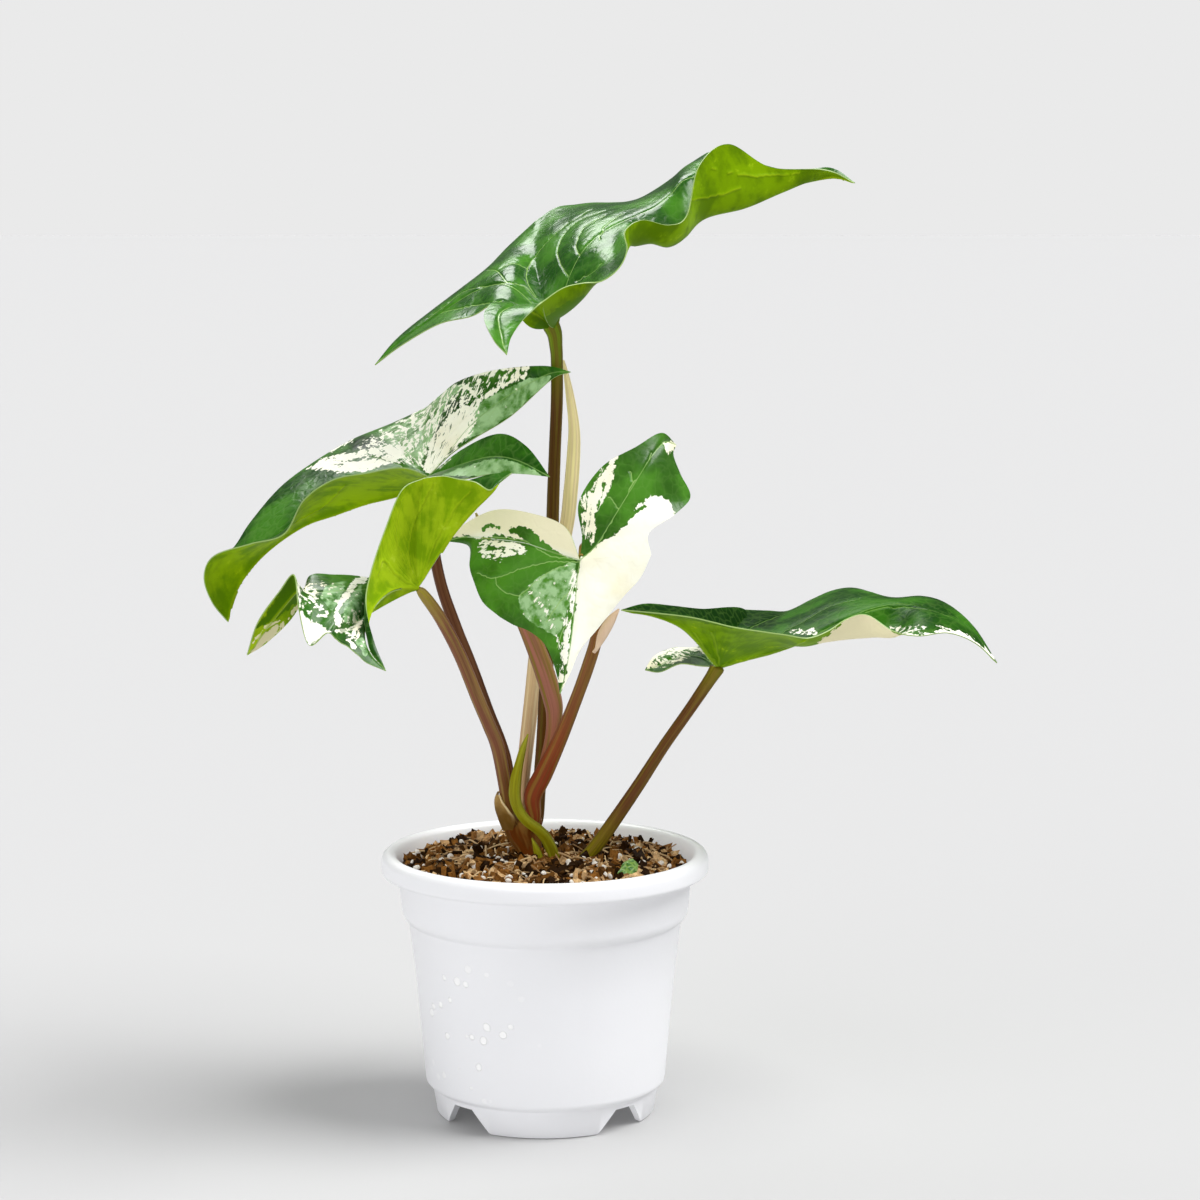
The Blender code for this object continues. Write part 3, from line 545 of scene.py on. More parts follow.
# %% [markdown]
# ## A leaf blade from its stations
# Botanists call this blade arrow-shaped: a body that ends in a point, and two lobes that reach back
# past the place where the stem joins. Three ribs meet there. The blade is made of six patches, each
# between a rib and a margin, so that its folds fall on the ribs as they do on the living leaf.
# Lobe rows run from the lobe's tip to the heart, as (sinus margin, rib, outer margin). Body rows run
# from the heart to the point, as (margin 1, rib, margin 2, belly 1, belly 2).

# %% Patches of a blade
BULGE = 0.05                # how far a row stands off its straight line, as a share of its width


def bulges(rib, edge, hand_set, turn, side):
    """How far the middle of each row stands off the straight line from rib to margin."""
    result = []
    for k in range(len(rib)):
        if hand_set[k] is not None:
            result.append(sight([hand_set[k]])[0] - (rib[k] + edge[k]) / 2)
            continue
        along = rib[min(k + 1, len(rib) - 1)] - rib[max(k - 1, 0)]
        across = edge[k] - rib[k]
        out = np.cross(along, across)
        size = np.linalg.norm(out)
        lift = np.linalg.norm(across) * BULGE * turn * (1 if side == 0 else -1)
        result.append(out / size * lift if size > 1e-6 else np.zeros(3))
    return np.array(result)


def patch(name, inner, sags, outer, spacing, flip, half):
    """A sheet between two rails, bowed in the middle of its rows by `sags`."""
    places = even_places([inner, outer], spacing)
    a, c, sag = curve(inner, places), curve(outer, places), curve(sags, places)
    width = np.linalg.norm(c - a, axis=1)
    columns = max(4, int(math.ceil(width.max() / spacing)))
    t = np.linspace(0, 1, columns + 1)[None, :, None]
    grid = a[:, None] * (1 - t) + c[:, None] * t + sag[:, None] * 4 * t * (1 - t)
    margin = (1 - t[..., 0]) * width[:, None]
    halves = np.full(grid.shape[:2], float(half))
    return shaped_grid(name, grid, flip, {"margin": margin, "half": halves})


def blade(name, lobe_1, lobe_2, body, turn, spacing):
    """The blade as one open sheet whose faces look up from its upper side."""
    sheets = []
    rib = sight([row[1] for row in body])
    ribs = [curve(rib, even_places([rib], 1.0))]
    for side, lobe in enumerate((lobe_1, lobe_2)):
        up = turn * (-1 if side == 1 else 1)
        edge = sight([row[2 * side] for row in body])
        hand_set = [row[3 + side] if len(row) > 3 + side else None for row in body]
        sags = bulges(rib, edge, hand_set, turn, side)
        sheets.append(patch(name, rib, sags, edge, spacing, up > 0, side + 1))
        lobe_rib = np.vstack([sight([row[1] for row in lobe]), rib[:1]])
        lobe_edge = np.vstack([sight([row[2] for row in lobe]), edge[:1]])
        lobe_sinus = np.vstack([sight([row[0] for row in lobe]), rib[:1]])
        none = [None] * len(lobe_rib)
        outward = bulges(lobe_rib, lobe_edge, none, turn, side)
        outward[-1] = sags[0]
        sheets.append(patch(name, lobe_rib, outward, lobe_edge, spacing, up > 0, side + 1))
        flat = np.zeros((len(lobe_rib), 3))
        sheets.append(patch(name, lobe_rib, flat, lobe_sinus, spacing, up < 0, side + 1))
        ribs.append(curve(lobe_rib, even_places([lobe_rib], 1.0)))
    return joined(name, sheets), ribs


print("blade tools ready")

# %% [markdown]
# A painted line is only as fine as the points that carry it. A grid that is fine all over would be
# far too heavy, so the faces beside a vein are cut in three each way, and only where they are long.

# %% Finer faces beside the veins
def read_values(mesh, name):
    values = np.empty(len(mesh.vertices), dtype=np.float32)
    mesh.attributes[name].data.foreach_get("value", values)
    return values


def points_of(mesh):
    """The mesh's points, in millimetres from the pot's axis."""
    points = np.empty(len(mesh.vertices) * 3)
    mesh.vertices.foreach_get("co", points)
    return (points.reshape(-1, 3) - AXIS) / MM


def refined(sheet, close, longest):
    """Cut the sides of the faces in `close` in three, where they are longer than `longest`."""
    mesh = sheet.data
    corners = np.empty(len(mesh.loops), dtype=np.int64)
    mesh.loops.foreach_get("vertex_index", corners)
    sides = np.empty(len(mesh.loops), dtype=np.int64)
    mesh.loops.foreach_get("edge_index", sides)
    starts = np.empty(len(mesh.polygons), dtype=np.int64)
    mesh.polygons.foreach_get("loop_start", starts)
    wanted = np.logical_or.reduceat(close[corners], starts)
    cut = np.zeros(len(mesh.edges), dtype=bool)
    cut[sides[np.repeat(wanted, np.diff(np.append(starts, len(corners))))]] = True
    ends = np.empty(len(mesh.edges) * 2, dtype=np.int64)
    mesh.edges.foreach_get("vertices", ends)
    ends = points_of(mesh)[ends.reshape(-1, 2)]
    cut &= np.linalg.norm(ends[:, 0] - ends[:, 1], axis=1) > longest
    only(sheet)
    bpy.ops.object.mode_set(mode="EDIT")
    bpy.ops.mesh.select_mode(type="EDGE")
    bpy.ops.mesh.select_all(action="DESELECT")
    bpy.ops.object.mode_set(mode="OBJECT")
    mesh.edges.foreach_set("select", cut)
    bpy.ops.object.mode_set(mode="EDIT")
    bpy.ops.mesh.subdivide(number_cuts=2)
    bpy.ops.object.mode_set(mode="OBJECT")


print("refining ready")

# %% [markdown]
# The blade then gets its paint: each rib, vein and area becomes a value at every point. Streaks of
# cream follow the leaf's cells, which run out from the heart, so the noise that breaks them is not
# laid in space but in a fan round the heart, where it is drawn out lengthwise.

# %% Paint on the blade
FAN_ROUND, FAN_LENGTH = 20.0, 6.0       # cells are much longer than they are wide
NO_PAINT = ((), (), ())
PAINTS = ("cream", "cream_below", "silver_and_sheen", "shade", "warm", "marble", "marble_below")


def fan_round(points, heart):
    """Places round and away from the heart, for streaks that run out like the leaf's cells."""
    spread = np.linalg.svd(points[::7] - points.mean(axis=0), full_matrices=False)[2]
    flat = (points - heart) @ spread[:2].T
    reach = np.linalg.norm(points - heart, axis=1)
    angle = np.arctan2(flat[:, 1], flat[:, 0])
    return np.stack([np.cos(angle) * FAN_ROUND, np.sin(angle) * FAN_ROUND, reach / FAN_LENGTH], axis=-1)


def paint_blade(mesh, paint, ribs, veins):
    """Write what the materials read, and give back how far each point is from ribs and veins."""
    points = points_of(mesh)
    rib = np.min([distance_to_line(points, line) for line in ribs], axis=0)
    vein = np.min([distance_to_line(points, line) for line in veins] + [rib + FAR], axis=0)
    write_values(mesh, "rib", rib)
    write_values(mesh, "vein", vein)
    brush = Paint(points, np.round(read_values(mesh, "half")))
    for key in PAINTS:
        write_values(mesh, key, brush.areas(*paint.get(key, NO_PAINT)))
    fan = mesh.attributes.new("fan", "FLOAT_VECTOR", "POINT")
    fan.data.foreach_set("vector", fan_round(points, ribs[0][0]).astype(np.float32).ravel())
    return rib, vein


print("blade paints", PAINTS)

# %% [markdown]
# Along a rib the sheet is pressed down, which gives a groove above and a ridge below in one step.
# Solidify then makes the sheet a closed thin body, and gives the lower side and the rim materials
# of their own.

# %% Grooves and thickness
BLADE_THICKNESS = 0.42
RIB_GROOVE, RIB_WIDTH = 0.42, 0.9
VEIN_GROOVE, VEIN_WIDTH = 0.14, 0.6
PILLOW_WIDTH = 2.4          # how far the blade swells between its veins
MARGIN_FADE = 3.0           # grooves end this far from the margin


def press_grooves(mesh, rib, vein, quilt):
    normals = np.empty(len(mesh.vertices) * 3)
    mesh.vertices.foreach_get("normal", normals)
    fade = np.clip(read_values(mesh, "margin") / MARGIN_FADE, 0, 1)
    press = RIB_GROOVE * np.exp(-(rib / RIB_WIDTH) ** 2)
    press += VEIN_GROOVE * np.exp(-(vein / VEIN_WIDTH) ** 2)
    press += quilt * np.exp(-(np.minimum(rib, vein) / PILLOW_WIDTH) ** 2)
    points = points_of(mesh) - normals.reshape(-1, 3) * (press * fade)[:, None]
    mesh.vertices.foreach_set("co", metres(points).ravel())


def thicken(sheet, thickness, below=0, rim=0):
    """Make a closed body of an open sheet; `below` and `rim` are steps to other materials."""
    only(sheet)
    solid = sheet.modifiers.new("thickness", "SOLIDIFY")
    solid.thickness = thickness * MM
    solid.offset = 0.0
    solid.material_offset = below
    solid.material_offset_rim = rim
    bpy.ops.object.modifier_apply(modifier="thickness")


print("blades are", BLADE_THICKNESS, "mm thick")

# %% [markdown]
# One function now makes a whole leaf. `turn` says which way its upper side looks, `quilt` how deep
# the blade sinks towards its veins, and `spacing` how close the points of its grid lie.

# %% A whole leaf
FINE_NEAR, FINE_LONGER = 0.75, 0.5      # which faces are cut finer, in shares of the spacing


def leaf(node, stations, turn, paint, finishes, spacing=0.95, quilt=0.12):
    lobe_1, lobe_2, body = stations
    sheet, ribs = blade(node + "_dressed", lobe_1, lobe_2, body, turn, spacing)
    mesh = sheet.data
    points = points_of(mesh)
    veins = Paint(points, np.ones(len(points))).laid(paint.get("veins", ()))
    near = np.min([distance_to_line(points, line) for line in ribs + veins], axis=0)
    refined(sheet, near < spacing * FINE_NEAR, spacing * FINE_LONGER)
    rib, vein = paint_blade(mesh, paint, ribs, veins)
    press_grooves(mesh, rib, vein, quilt)
    mesh.materials.clear()
    for finish in finishes:
        mesh.materials.append(finish.material)
    thicken(sheet, BLADE_THICKNESS, below=1, rim=2)
    bpy.ops.object.shade_smooth_by_angle(angle=math.radians(70))
    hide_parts(node)
    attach(sheet, "root")
    print(node, len(mesh.polygons), "faces")


# %% [markdown]
# ## Leaf colours
# The upper side is a waxy dark green with a fine net of veins. Where the leaf makes no chlorophyll
# it is cream, in ragged areas and in streaks that run out from the heart like the leaf's own cells.
# A painted area gives the place of each marking, and noise gives its torn edge. The silver colour
# fills the silvery panels, which are partly the leaf's own silver and partly painted sheen, and
# `fleece` is the size of their clouds. `speck` and `slits` set how broken the cream is, and the glint
# level sets how rare the painted glints are: cream dots that stand for light sparkling on the panels.
# A higher `age` turns more of the cream to old cream. The shade areas are painted shade, which
# darkens the green. `net` and `vein_shows` say how clearly the veins show, and `relief` how far the
# meshes between them swell.

# %% Upper side
CREAM = (0.93, 0.93, 0.79)
OLD_CREAM = (0.86, 0.81, 0.56)
# The colour of painted shade on the upper side.
PAINTED_SHADE_GREEN = (0.004, 0.030, 0.001)
RIB_SHOWS = 0.6


def upper_side(name, deep, fresh, vein_colour, gloss, shine, silver_and_sheen_colour=(0.26, 0.44, 0.19), cream=CREAM,
               net=0.12, vein_shows=0.6, relief=0.12, speck=0.17, slits=0.0, glint_level=0.62, age=0.30,
               fleece=1.5):
    side = Finish(name, roughness=gloss, shine=shine)
    fan = side.node("ShaderNodeAttribute", {"attribute_name": "fan"}, {}, "Vector")
    clouds = side.noise(8.0, detail=4.0)
    fine = side.noise(1.0, detail=3.0)
    streak = side.node("ShaderNodeTexNoise", {}, {"Vector": fan, "Scale": 0.9, "Detail": 4.0,
                                                  "Roughness": 0.65, "Distortion": 0.6}, 0)
    wander = side.node("ShaderNodeTexNoise", {},
                       {"Vector": side.place, "Scale": 260.0, "Detail": 2.0}, 1)
    bend = side.node("ShaderNodeVectorMath", {"operation": "MULTIPLY_ADD"},
                     {0: wander, 1: (0.003, 0.003, 0.003), 2: side.place})
    meshes = side.net(4.2, where=bend)
    rib = side.painted("rib")
    vein = side.painted("vein")

    green = side.mix(clouds.rise(0.36, 0.64), deep, fresh)
    # Painted shade: the shade areas darken the green towards a shadow green.
    painted_shade = (side.painted("shade") + (fine - 0.5) * 2.0).rise(-1.5, 1.5)
    # Painted sheen and silver: the panel areas turn the green silvery, partly the leaf's own silver and
    # partly painted sheen.
    silver_and_sheen = (side.painted("silver_and_sheen") + (fine - 0.5) * 1.6 + (clouds - 0.5) * 1.5).rise(-0.15, 0.15)
    silver_and_sheen_green = side.mix(side.noise(fleece, detail=4.0).rise(0.32, 0.60), fresh, silver_and_sheen_colour)
    green = side.mix(silver_and_sheen, green, silver_and_sheen_green)
    green = side.mix(painted_shade, green, PAINTED_SHADE_GREEN)
    green = side.mix(meshes.fall(0.0, 0.12) * net, green, vein_colour)
    green = side.mix(vein.fall(0.05, 0.32) * vein_shows, green, vein_colour)

    ragged = (fine - 0.5) * 3.4 + (side.noise(3.0, detail=3.0) - 0.5) * 3.0
    solid = (side.painted("cream") + ragged).rise(-0.10, 0.10)
    marble = side.painted("marble").rise(-1.5, 1.5)
    specks = (streak * 0.6 + fine * 0.4 + marble * speck).rise(0.695, 0.725) * marble.rise(0.0, 0.3)
    slit = (streak * 0.8 + fine * 0.2).fall(0.400, 0.425) * slits
    # Painted glints: cream dots in the panels stand for light sparkling on them.
    painted_glint = silver_and_sheen * fine.rise(glint_level, glint_level + 0.05) * 0.8
    pale = (solid * (1.0 - slit)).higher_of(specks).higher_of(painted_glint)
    young = side.noise(16.0).rise(age, age + 0.25) * side.painted("warm").fall(-2.0, 2.0)
    colour = side.mix(pale, green, side.mix(young, OLD_CREAM, cream))
    colour = side.mix(rib.fall(0.10, 0.42) * RIB_SHOWS, colour, vein_colour)
    side.feed("Base Color", colour)
    side.feed("Roughness", gloss + clouds * 0.10 + pale * 0.12)
    swell = side.noise(5.0, detail=1.5)
    height = meshes.rise(0.0, 0.30) * relief + vein.rise(0.0, 1.0) * 0.4 + fine * 0.05 + swell * 1.6
    side.bump(height, 0.28)
    return side


print("upper side ready")

# %% [markdown]
# The lower side is a bright lime green, duller and smoother, and mottled where light shines
# through. The rim is the thin pale line that a cut blade shows all round.

# %% Lower side and rim
LOWER_GLOSS = 0.42
SHADED_LIME = (0.085, 0.20, 0.003)
WARM_LIME = (0.36, 0.33, 0.05)
CREAM_BELOW = (0.84, 0.78, 0.50)


def lower_side(name, bright, dark, vein_colour=(0.36, 0.50, 0.01), glint=(0.50, 0.66, 0.01)):
    side = Finish(name, roughness=LOWER_GLOSS, shine=0.02)
    fan = side.node("ShaderNodeAttribute", {"attribute_name": "fan"}, {}, "Vector")
    clouds = side.noise(11.0, detail=3.0)
    fine = side.noise(1.2, detail=3.0)
    streak = side.node("ShaderNodeTexNoise", {}, {"Vector": fan, "Scale": 0.55, "Detail": 3.0,
                                                  "Roughness": 0.6, "Distortion": 0.4}, 0)
    mottle = side.noise(4.5, detail=4.0, rough=0.6)
    vein = side.painted("vein")

    colour = side.mix((streak * 0.3 + clouds * 0.3 + mottle * 0.4).rise(0.42, 0.58), dark, bright)
    flecks = (mottle * 0.6 + fine * 0.4).rise(0.60, 0.68)
    colour = side.mix(flecks * 0.5, colour, glint)
    # Painted shade: the shade areas darken the lime.
    shaded = (side.painted("shade") + (fine - 0.5) * 4.0).rise(-0.3, 0.3)
    colour = side.mix(shaded, colour, SHADED_LIME)
    warm = (side.painted("warm") + (fine - 0.5) * 3.0).rise(-0.5, 0.5)
    colour = side.mix(warm, colour, WARM_LIME)
    colour = side.mix(vein.fall(0.1, 0.5) * 0.4, colour, vein_colour)

    ragged = (fine - 0.5) * 3.0 + (side.noise(3.2, detail=3.0) - 0.5) * 2.4
    solid = (side.painted("cream_below") + ragged).rise(-0.10, 0.10)
    marble = side.painted("marble_below").rise(-1.5, 1.5)
    specks = (streak * 0.6 + fine * 0.4 + marble * 0.2).rise(0.66, 0.69) * marble.rise(0.0, 0.3)
    colour = side.mix(solid.higher_of(specks), colour, CREAM_BELOW)
    colour = side.mix(side.painted("rib").fall(0.3, 1.0) * 0.6, colour, vein_colour)
    side.feed("Base Color", colour)
    side.feed("Roughness", LOWER_GLOSS + fine * 0.08)
    side.bump(vein.fall(0.0, 0.9) * 0.6 + clouds * 0.6 + fine * 0.1, 0.25)
    return side


def rim_side(name, colour):
    side = Finish(name, roughness=0.45)
    side.feed("Base Color", side.mix(side.noise(6.0), colour, darker(colour, 0.75)))
    return side


pale_rim = rim_side("pale_green_margin", (0.36, 0.52, 0.16))
lime_below = lower_side("lime_underside", (0.32, 0.53, 0.0015), (0.15, 0.31, 0.001))
deep_below = lower_side("deep_lime_underside", (0.19, 0.34, 0.001), (0.10, 0.20, 0.001),
                        glint=(0.36, 0.55, 0.01))
print("leaf finishes ready")

# %% [markdown]
# ## The top leaf
# The highest leaf is plain dark green and very glossy. Its far half spreads out flat with clear
# veins, and its near half rolls up towards the point and shows the lime underside.

# %% Stations and veins of the top leaf
TOP_HEART = (556, 327, 2)
TOP_LOBE_1 = [
    ((375, 365, 30), (375, 365, 30), (375, 365, 30)),
    ((402, 345, 24), (400, 341, 32), (398, 338, 38)),
    ((439, 324, 16), (437, 315, 32), (434, 309, 46)),
    ((472, 316, 9), (478, 289, 26), (480, 275, 57)),
    ((506, 301, 4), (512, 286, 14), (508, 247, 65)),
]
TOP_LOBE_2 = [
    ((507, 355, -62), (507, 355, -62), (507, 355, -62)),
    ((493, 339, -56), (502, 338, -54), (511, 338, -54)),
    ((484, 314, -38), (499, 314, -40), (522, 321, -45)),
    ((504, 299, -20), (517, 305, -27), (532, 311, -41)),
    ((530, 327, -12), (536, 313, -14), (538, 305, -39)),
]
TOP_BODY = [
    ((536, 221, 68), TOP_HEART, (542, 302, -37), None, (548, 323, -17)),
    ((556, 208, 74), (565, 286, 8), (563, 288, -33), None, (568, 312, -13)),
    ((575, 205, 77), (579, 255, 14), (583, 283, -29), None, (584, 295, -10)),
    ((592, 203, 78), (594, 238, 18), (602, 281, -26), None, (600, 268, -5)),
    ((612, 203, 79), (610, 227, 22), (619, 268, -23), None, (616, 257, -4)),
    ((630, 203, 80), (624, 220, 25), (627, 250, -21), None, (628, 243, -3)),
    ((645, 199, 80), (638, 214, 28), (625, 231, -16), None, (637, 245, 2)),
    ((662, 188, 80), (655, 206, 32), (642, 220, -10), None, (652, 243, 6)),
    ((679, 176, 79), (670, 194, 35), (669, 225, -3), None, (669, 245, 12)),
    ((694, 164, 78), (683, 180, 38), (687, 215, 4), None, (686, 234, 18)),
    ((712, 152, 72), (705, 176, 42), (699, 166, 13), None, (706, 218, 24)),
    ((745, 160, 66), (742, 186, 46), (728, 144, 24), None, (742, 206, 32)),
    ((790, 171, 58), (788, 184, 50), (770, 167, 38), None, (780, 191, 42)),
    ((830, 168, 54), (830, 177, 51), (826, 170, 47), None, (824, 174, 49)),
    ((855, 183, 52), (855, 183, 52), (855, 183, 52)),
]
top_paint = {
    "veins": [
        [(538, 297), (529, 282), (528, 268), (539, 249), (554, 233), (566, 223), (590, 208)],
        [(566, 276), (560, 262), (557, 248), (564, 232), (580, 218), (604, 209)],
        [(579, 255), (575, 243), (584, 226), (606, 213)],
        [(598, 238), (605, 224), (622, 212)],
        [(536, 296), (526, 286), (506, 281), (486, 284), (463, 290), (443, 305), (428, 316)],
        [(503, 300), (483, 303), (459, 307), (440, 312)],
        [(529, 268), (514, 262), (500, 266)],
        [(506, 281), (497, 270), (486, 268)],
        [(575, 281), (592, 271), (600, 262)],
        [(702, 165), (725, 172), (760, 176), (800, 174)],
        [(690, 200), (715, 196), (740, 188)],
    ],
    # Painted shade near the heart.
    "shade": (
        [(2, [(528, 332), (545, 316), (566, 302), (580, 296), (590, 292), (578, 308), (564, 322),
              (552, 336)])], (), ()),
}
top_green = upper_side("dark_green_gloss", (0.014, 0.090, 0.003), (0.060, 0.23, 0.010),
                       (0.34, 0.56, 0.14), gloss=0.20, shine=0.34, net=0.05, vein_shows=0.9,
                       relief=0.2)
leaf("top_leaf", (TOP_LOBE_1, TOP_LOBE_2, TOP_BODY), 1, top_paint,
     (top_green, deep_below, pale_rim), spacing=1.2, quilt=0.22)

# %% [markdown]
# ## The upper left leaf
# This one is marbled all over: cream runs out from the heart along the cells, most of all up the
# far lobe, and only the half near the point stays dark. Its silvery panels are mostly painted sheen.

# %% Stations and marbling of the upper left leaf
LEFT_HEART = (427, 478, 8)
LEFT_LOBE_1 = [
    ((571, 372, -4), (571, 372, -4), (571, 372, -4)),
    ((551, 380, -4), (548, 374, -3), (544, 366, -1)),
    ((511, 416, 8), (505, 397, 13), (497, 370, 22)),
    ((475, 438, 8), (470, 425, 15), (460, 381, 38)),
    ((450, 455, 10), (447, 453, 12), (440, 396, 50)),
]
LEFT_LOBE_2 = [
    ((550, 477, -32), (550, 477, -32), (550, 477, -32)),
    ((526, 446, -27), (520, 461, -30), (522, 474, -31)),
    ((499, 434, -18), (492, 456, -22), (492, 474, -26)),
    ((462, 450, -2), (459, 464, -8), (465, 479, -23)),
]
LEFT_BODY = [
    ((426, 408, 62), LEFT_HEART, (436, 480, -21)),
    ((391, 424, 62), (400, 494, 7), (404, 468, -21)),
    ((352, 440, 59), (366, 503, 6), (368, 473, -21)),
    ((313, 463, 52), (335, 514, 8), (333, 480, -19)),
    ((280, 488, 44), (308, 523, 10), (304, 500, -18)),
    ((251, 522, 34), (284, 537, 12), (284, 534, -14)),
    ((236, 545, 28), (262, 555, 12), (250, 544, -12)),
    ((222, 560, 22), (246, 574, 10), (214, 556, -10)),
    ((214, 576, 18), (236, 591, 8), (204, 577, -7)),
    ((217, 602, 10), (230, 608, 6), (212, 602, -2)),
    ((228, 622, 4), (228, 622, 4), (228, 622, 4)),
]
left_paint = {
    "veins": [
        [(427, 477), (437, 452), (452, 430), (472, 405), (476, 392), (471, 383)],
        [(425, 475), (405, 455), (398, 440)],
        [(420, 474), (395, 462), (372, 455)],
        [(283, 531), (300, 520), (325, 505), (345, 485)],
    ],
    "cream": (
        [(1, [(424, 474), (435, 473), (440, 465), (454, 448), (466, 437), (473, 425), (477, 409), (463, 404),
              (449, 416), (440, 425), (433, 437), (428, 453), (424, 465)]),
         (1, [(307, 469), (323, 460), (340, 455), (356, 453), (375, 448), (393, 444), (403, 448), (403, 455),
              (393, 462), (379, 467), (365, 471), (347, 473), (328, 471)])],
        [(0, 1.8, [(480, 374), (500, 370), (528, 368)]),
         (0, 1.6, [(486, 396), (498, 389), (512, 381), (526, 375)]),
         (0, 1.8, [(465, 386), (472, 392), (478, 399)]),
         (0, 1.2, [(450, 398), (461, 402), (470, 400)]),
         (0, 1.2, [(330, 452), (344, 444), (352, 440)])],
        [(1, 1.0, [(356, 460), (372, 458), (386, 456)])]),
    # Painted shade: two darker patches.
    "shade": ([(1, [(346, 443), (361, 435), (379, 438), (384, 444), (370, 451), (354, 452)]),
               (1, [(448, 404), (460, 396), (470, 400), (458, 410)])], (), ()),
    "marble": (
        [(0, [(352, 448), (380, 430), (440, 392), (480, 366), (530, 364), (522, 380), (487, 398), (472, 440),
              (440, 472), (404, 466), (380, 460)])], (), ()),
    # Silvery panels, here mostly painted sheen.
    "silver_and_sheen": (
        [(0, [(379, 432), (410, 418), (431, 411), (446, 404), (440, 423), (428, 448), (420, 470), (404, 462),
              (395, 450)]),
         (0, [(470, 410), (488, 398), (508, 388), (530, 377), (552, 376), (548, 384), (520, 408), (490, 430),
              (466, 440)]),
         (0, [(400, 430), (425, 402), (452, 385), (466, 384), (448, 404), (424, 424)]),
         (2, [(442, 476), (462, 468), (492, 458), (510, 460), (530, 468), (546, 478), (500, 478)])], (), ()),
}
left_green = upper_side("marbled_green", (0.010, 0.062, 0.003), (0.050, 0.19, 0.010),
                        (0.22, 0.40, 0.10), gloss=0.26, shine=0.12, silver_and_sheen_colour=(0.36, 0.58, 0.27),
                        cream=(1.0, 1.0, 0.82), relief=0.3, speck=0.20, slits=1.0, glint_level=0.68,
                        age=0.16, fleece=3.0)
leaf("upper_left_leaf", (LEFT_LOBE_1, LEFT_LOBE_2, LEFT_BODY), -1, left_paint,
     (left_green, lime_below, pale_rim), spacing=1.0, quilt=0.25)

# %% [markdown]
# ## The lower left leaf
# Its near half stands upright, folded along the rib, and turns its lime underside to the front.
# The far half shows the marbled top, with a cream corner, and ends in a lobe that is twisted over.

# %% Stations and patches of the lower left leaf
LOW_HEART = (418, 588, -32)
LOW_LOBE_1 = [
    ((512, 473, -37), (512, 473, -37), (512, 473, -37)),
    ((503, 473, -36), (500, 480, -38), (497, 485, -40)),
    ((488, 475, -35), (492, 491, -40), (489, 490, -44)),
    ((470, 480, -34), (474, 509, -39), (475, 482, -45)),
    ((455, 484, -33), (455, 531, -37), (458, 479, -45)),
    ((443, 488, -32), (441, 552, -34), (443, 476, -44)),
]
LOW_LOBE_2 = [
    ((247, 655, -60), (247, 655, -60), (247, 655, -60)),
    ((266, 643, -56), (261, 634, -60), (258, 622, -64)),
    ((290, 620, -52), (283, 606, -58), (279, 592, -64)),
    ((303, 598, -47), (298, 590, -57), (294, 575, -67)),
    ((310, 576, -44), (311, 592, -58), (299, 610, -74)),
    ((333, 575, -42), (337, 590, -56), (309, 645, -77)),
    ((362, 577, -38), (370, 588, -48), (327, 633, -78)),
]
LOW_BODY = [
    ((424, 478, -43), LOW_HEART, (336, 639, -78)),
    ((402, 490, -50), (400, 588, -42), (341, 643, -78)),
    ((385, 530, -57), (385, 594, -53), (347, 646, -78)),
    ((371, 572, -64), (372, 609, -62), (353, 651, -78)),
    ((366, 604, -69), (366, 632, -69), (359, 656, -78)),
    ((374, 642, -72), (370, 651, -74), (367, 663, -78)),
    ((386, 671, -77), (386, 671, -77), (386, 671, -77)),
]
low_paint = {
    "veins": [
        [(418, 586), (409, 560), (412, 530), (424, 500), (432, 484)],
        [(416, 584), (402, 556), (396, 530), (402, 500)],
        [(422, 582), (432, 550), (450, 515), (470, 492)],
        [(414, 586), (396, 574), (384, 560), (378, 575)],
    ],
    "cream": (
        [(0, [(300, 612), (309, 618), (320, 624), (330, 633), (320, 640), (310, 646), (302, 634),
              (299, 621)])],
        [(0, 3.0, [(363, 579), (354, 585), (348, 594), (341, 604), (337, 613), (338, 623)]),
         (0, 1.5, [(306, 589), (312, 600), (321, 610)]),
         (0, 1.0, [(310, 583), (313, 585)]), (0, 0.9, [(322, 585), (326, 586)]),
         (0, 0.8, [(330, 632), (344, 630), (360, 628)]),
         (0, 2.0, [(359, 624), (354, 634)]), (0, 2.0, [(349, 641), (354, 648)]),
         (0, 0.9, [(297, 576), (299, 592), (300, 606)]),
         (0, 1.2, [(318, 616), (330, 615), (337, 617)])], ()),
    "marble": ([(0, [(296, 574), (318, 580), (326, 612), (310, 620), (298, 610)]),
                (0, [(342, 612), (362, 596), (362, 640), (352, 646), (340, 628)])], (), ()),
    "silver_and_sheen": ([(0, [(325, 586), (346, 582), (338, 602), (332, 612), (320, 598)]),
               (0, [(344, 605), (361, 584), (362, 618), (357, 624), (344, 622)]),
               (0, [(354, 640), (363, 637), (369, 653), (365, 658)])], (), ()),
    "cream_below": ((), [(0, 1.2, [(299, 605), (284, 618), (264, 627)]),
                         (0, 0.8, [(262, 630), (254, 640), (250, 650)])], ()),
    # Painted shade on the twisted far lobe.
    "shade": ([(2, [(254, 628), (265, 616), (276, 597), (288, 577), (297, 573), (300, 589), (300, 600),
                    (289, 608), (276, 618), (265, 624)])], (), ()),
    "warm": ([(1, [(376, 612), (382, 598), (400, 592), (392, 602)])], (), ()),
    "marble_below": ([(2, [(246, 656), (262, 634), (298, 606), (300, 612), (262, 646)])], (), ()),
}
low_green = upper_side("marbled_dark_green", (0.010, 0.06, 0.003), (0.035, 0.15, 0.010),
                       (0.24, 0.40, 0.10), gloss=0.24, shine=0.25, silver_and_sheen_colour=(0.28, 0.48, 0.22),
                       slits=0.5)
bright_below = lower_side("bright_lime_underside", (0.36, 0.52, 0.010), (0.19, 0.34, 0.003),
                          glint=(0.52, 0.66, 0.05))
leaf("lower_left_leaf", (LOW_LOBE_1, LOW_LOBE_2, LOW_BODY), 1, low_paint,
     (low_green, bright_below, pale_rim))
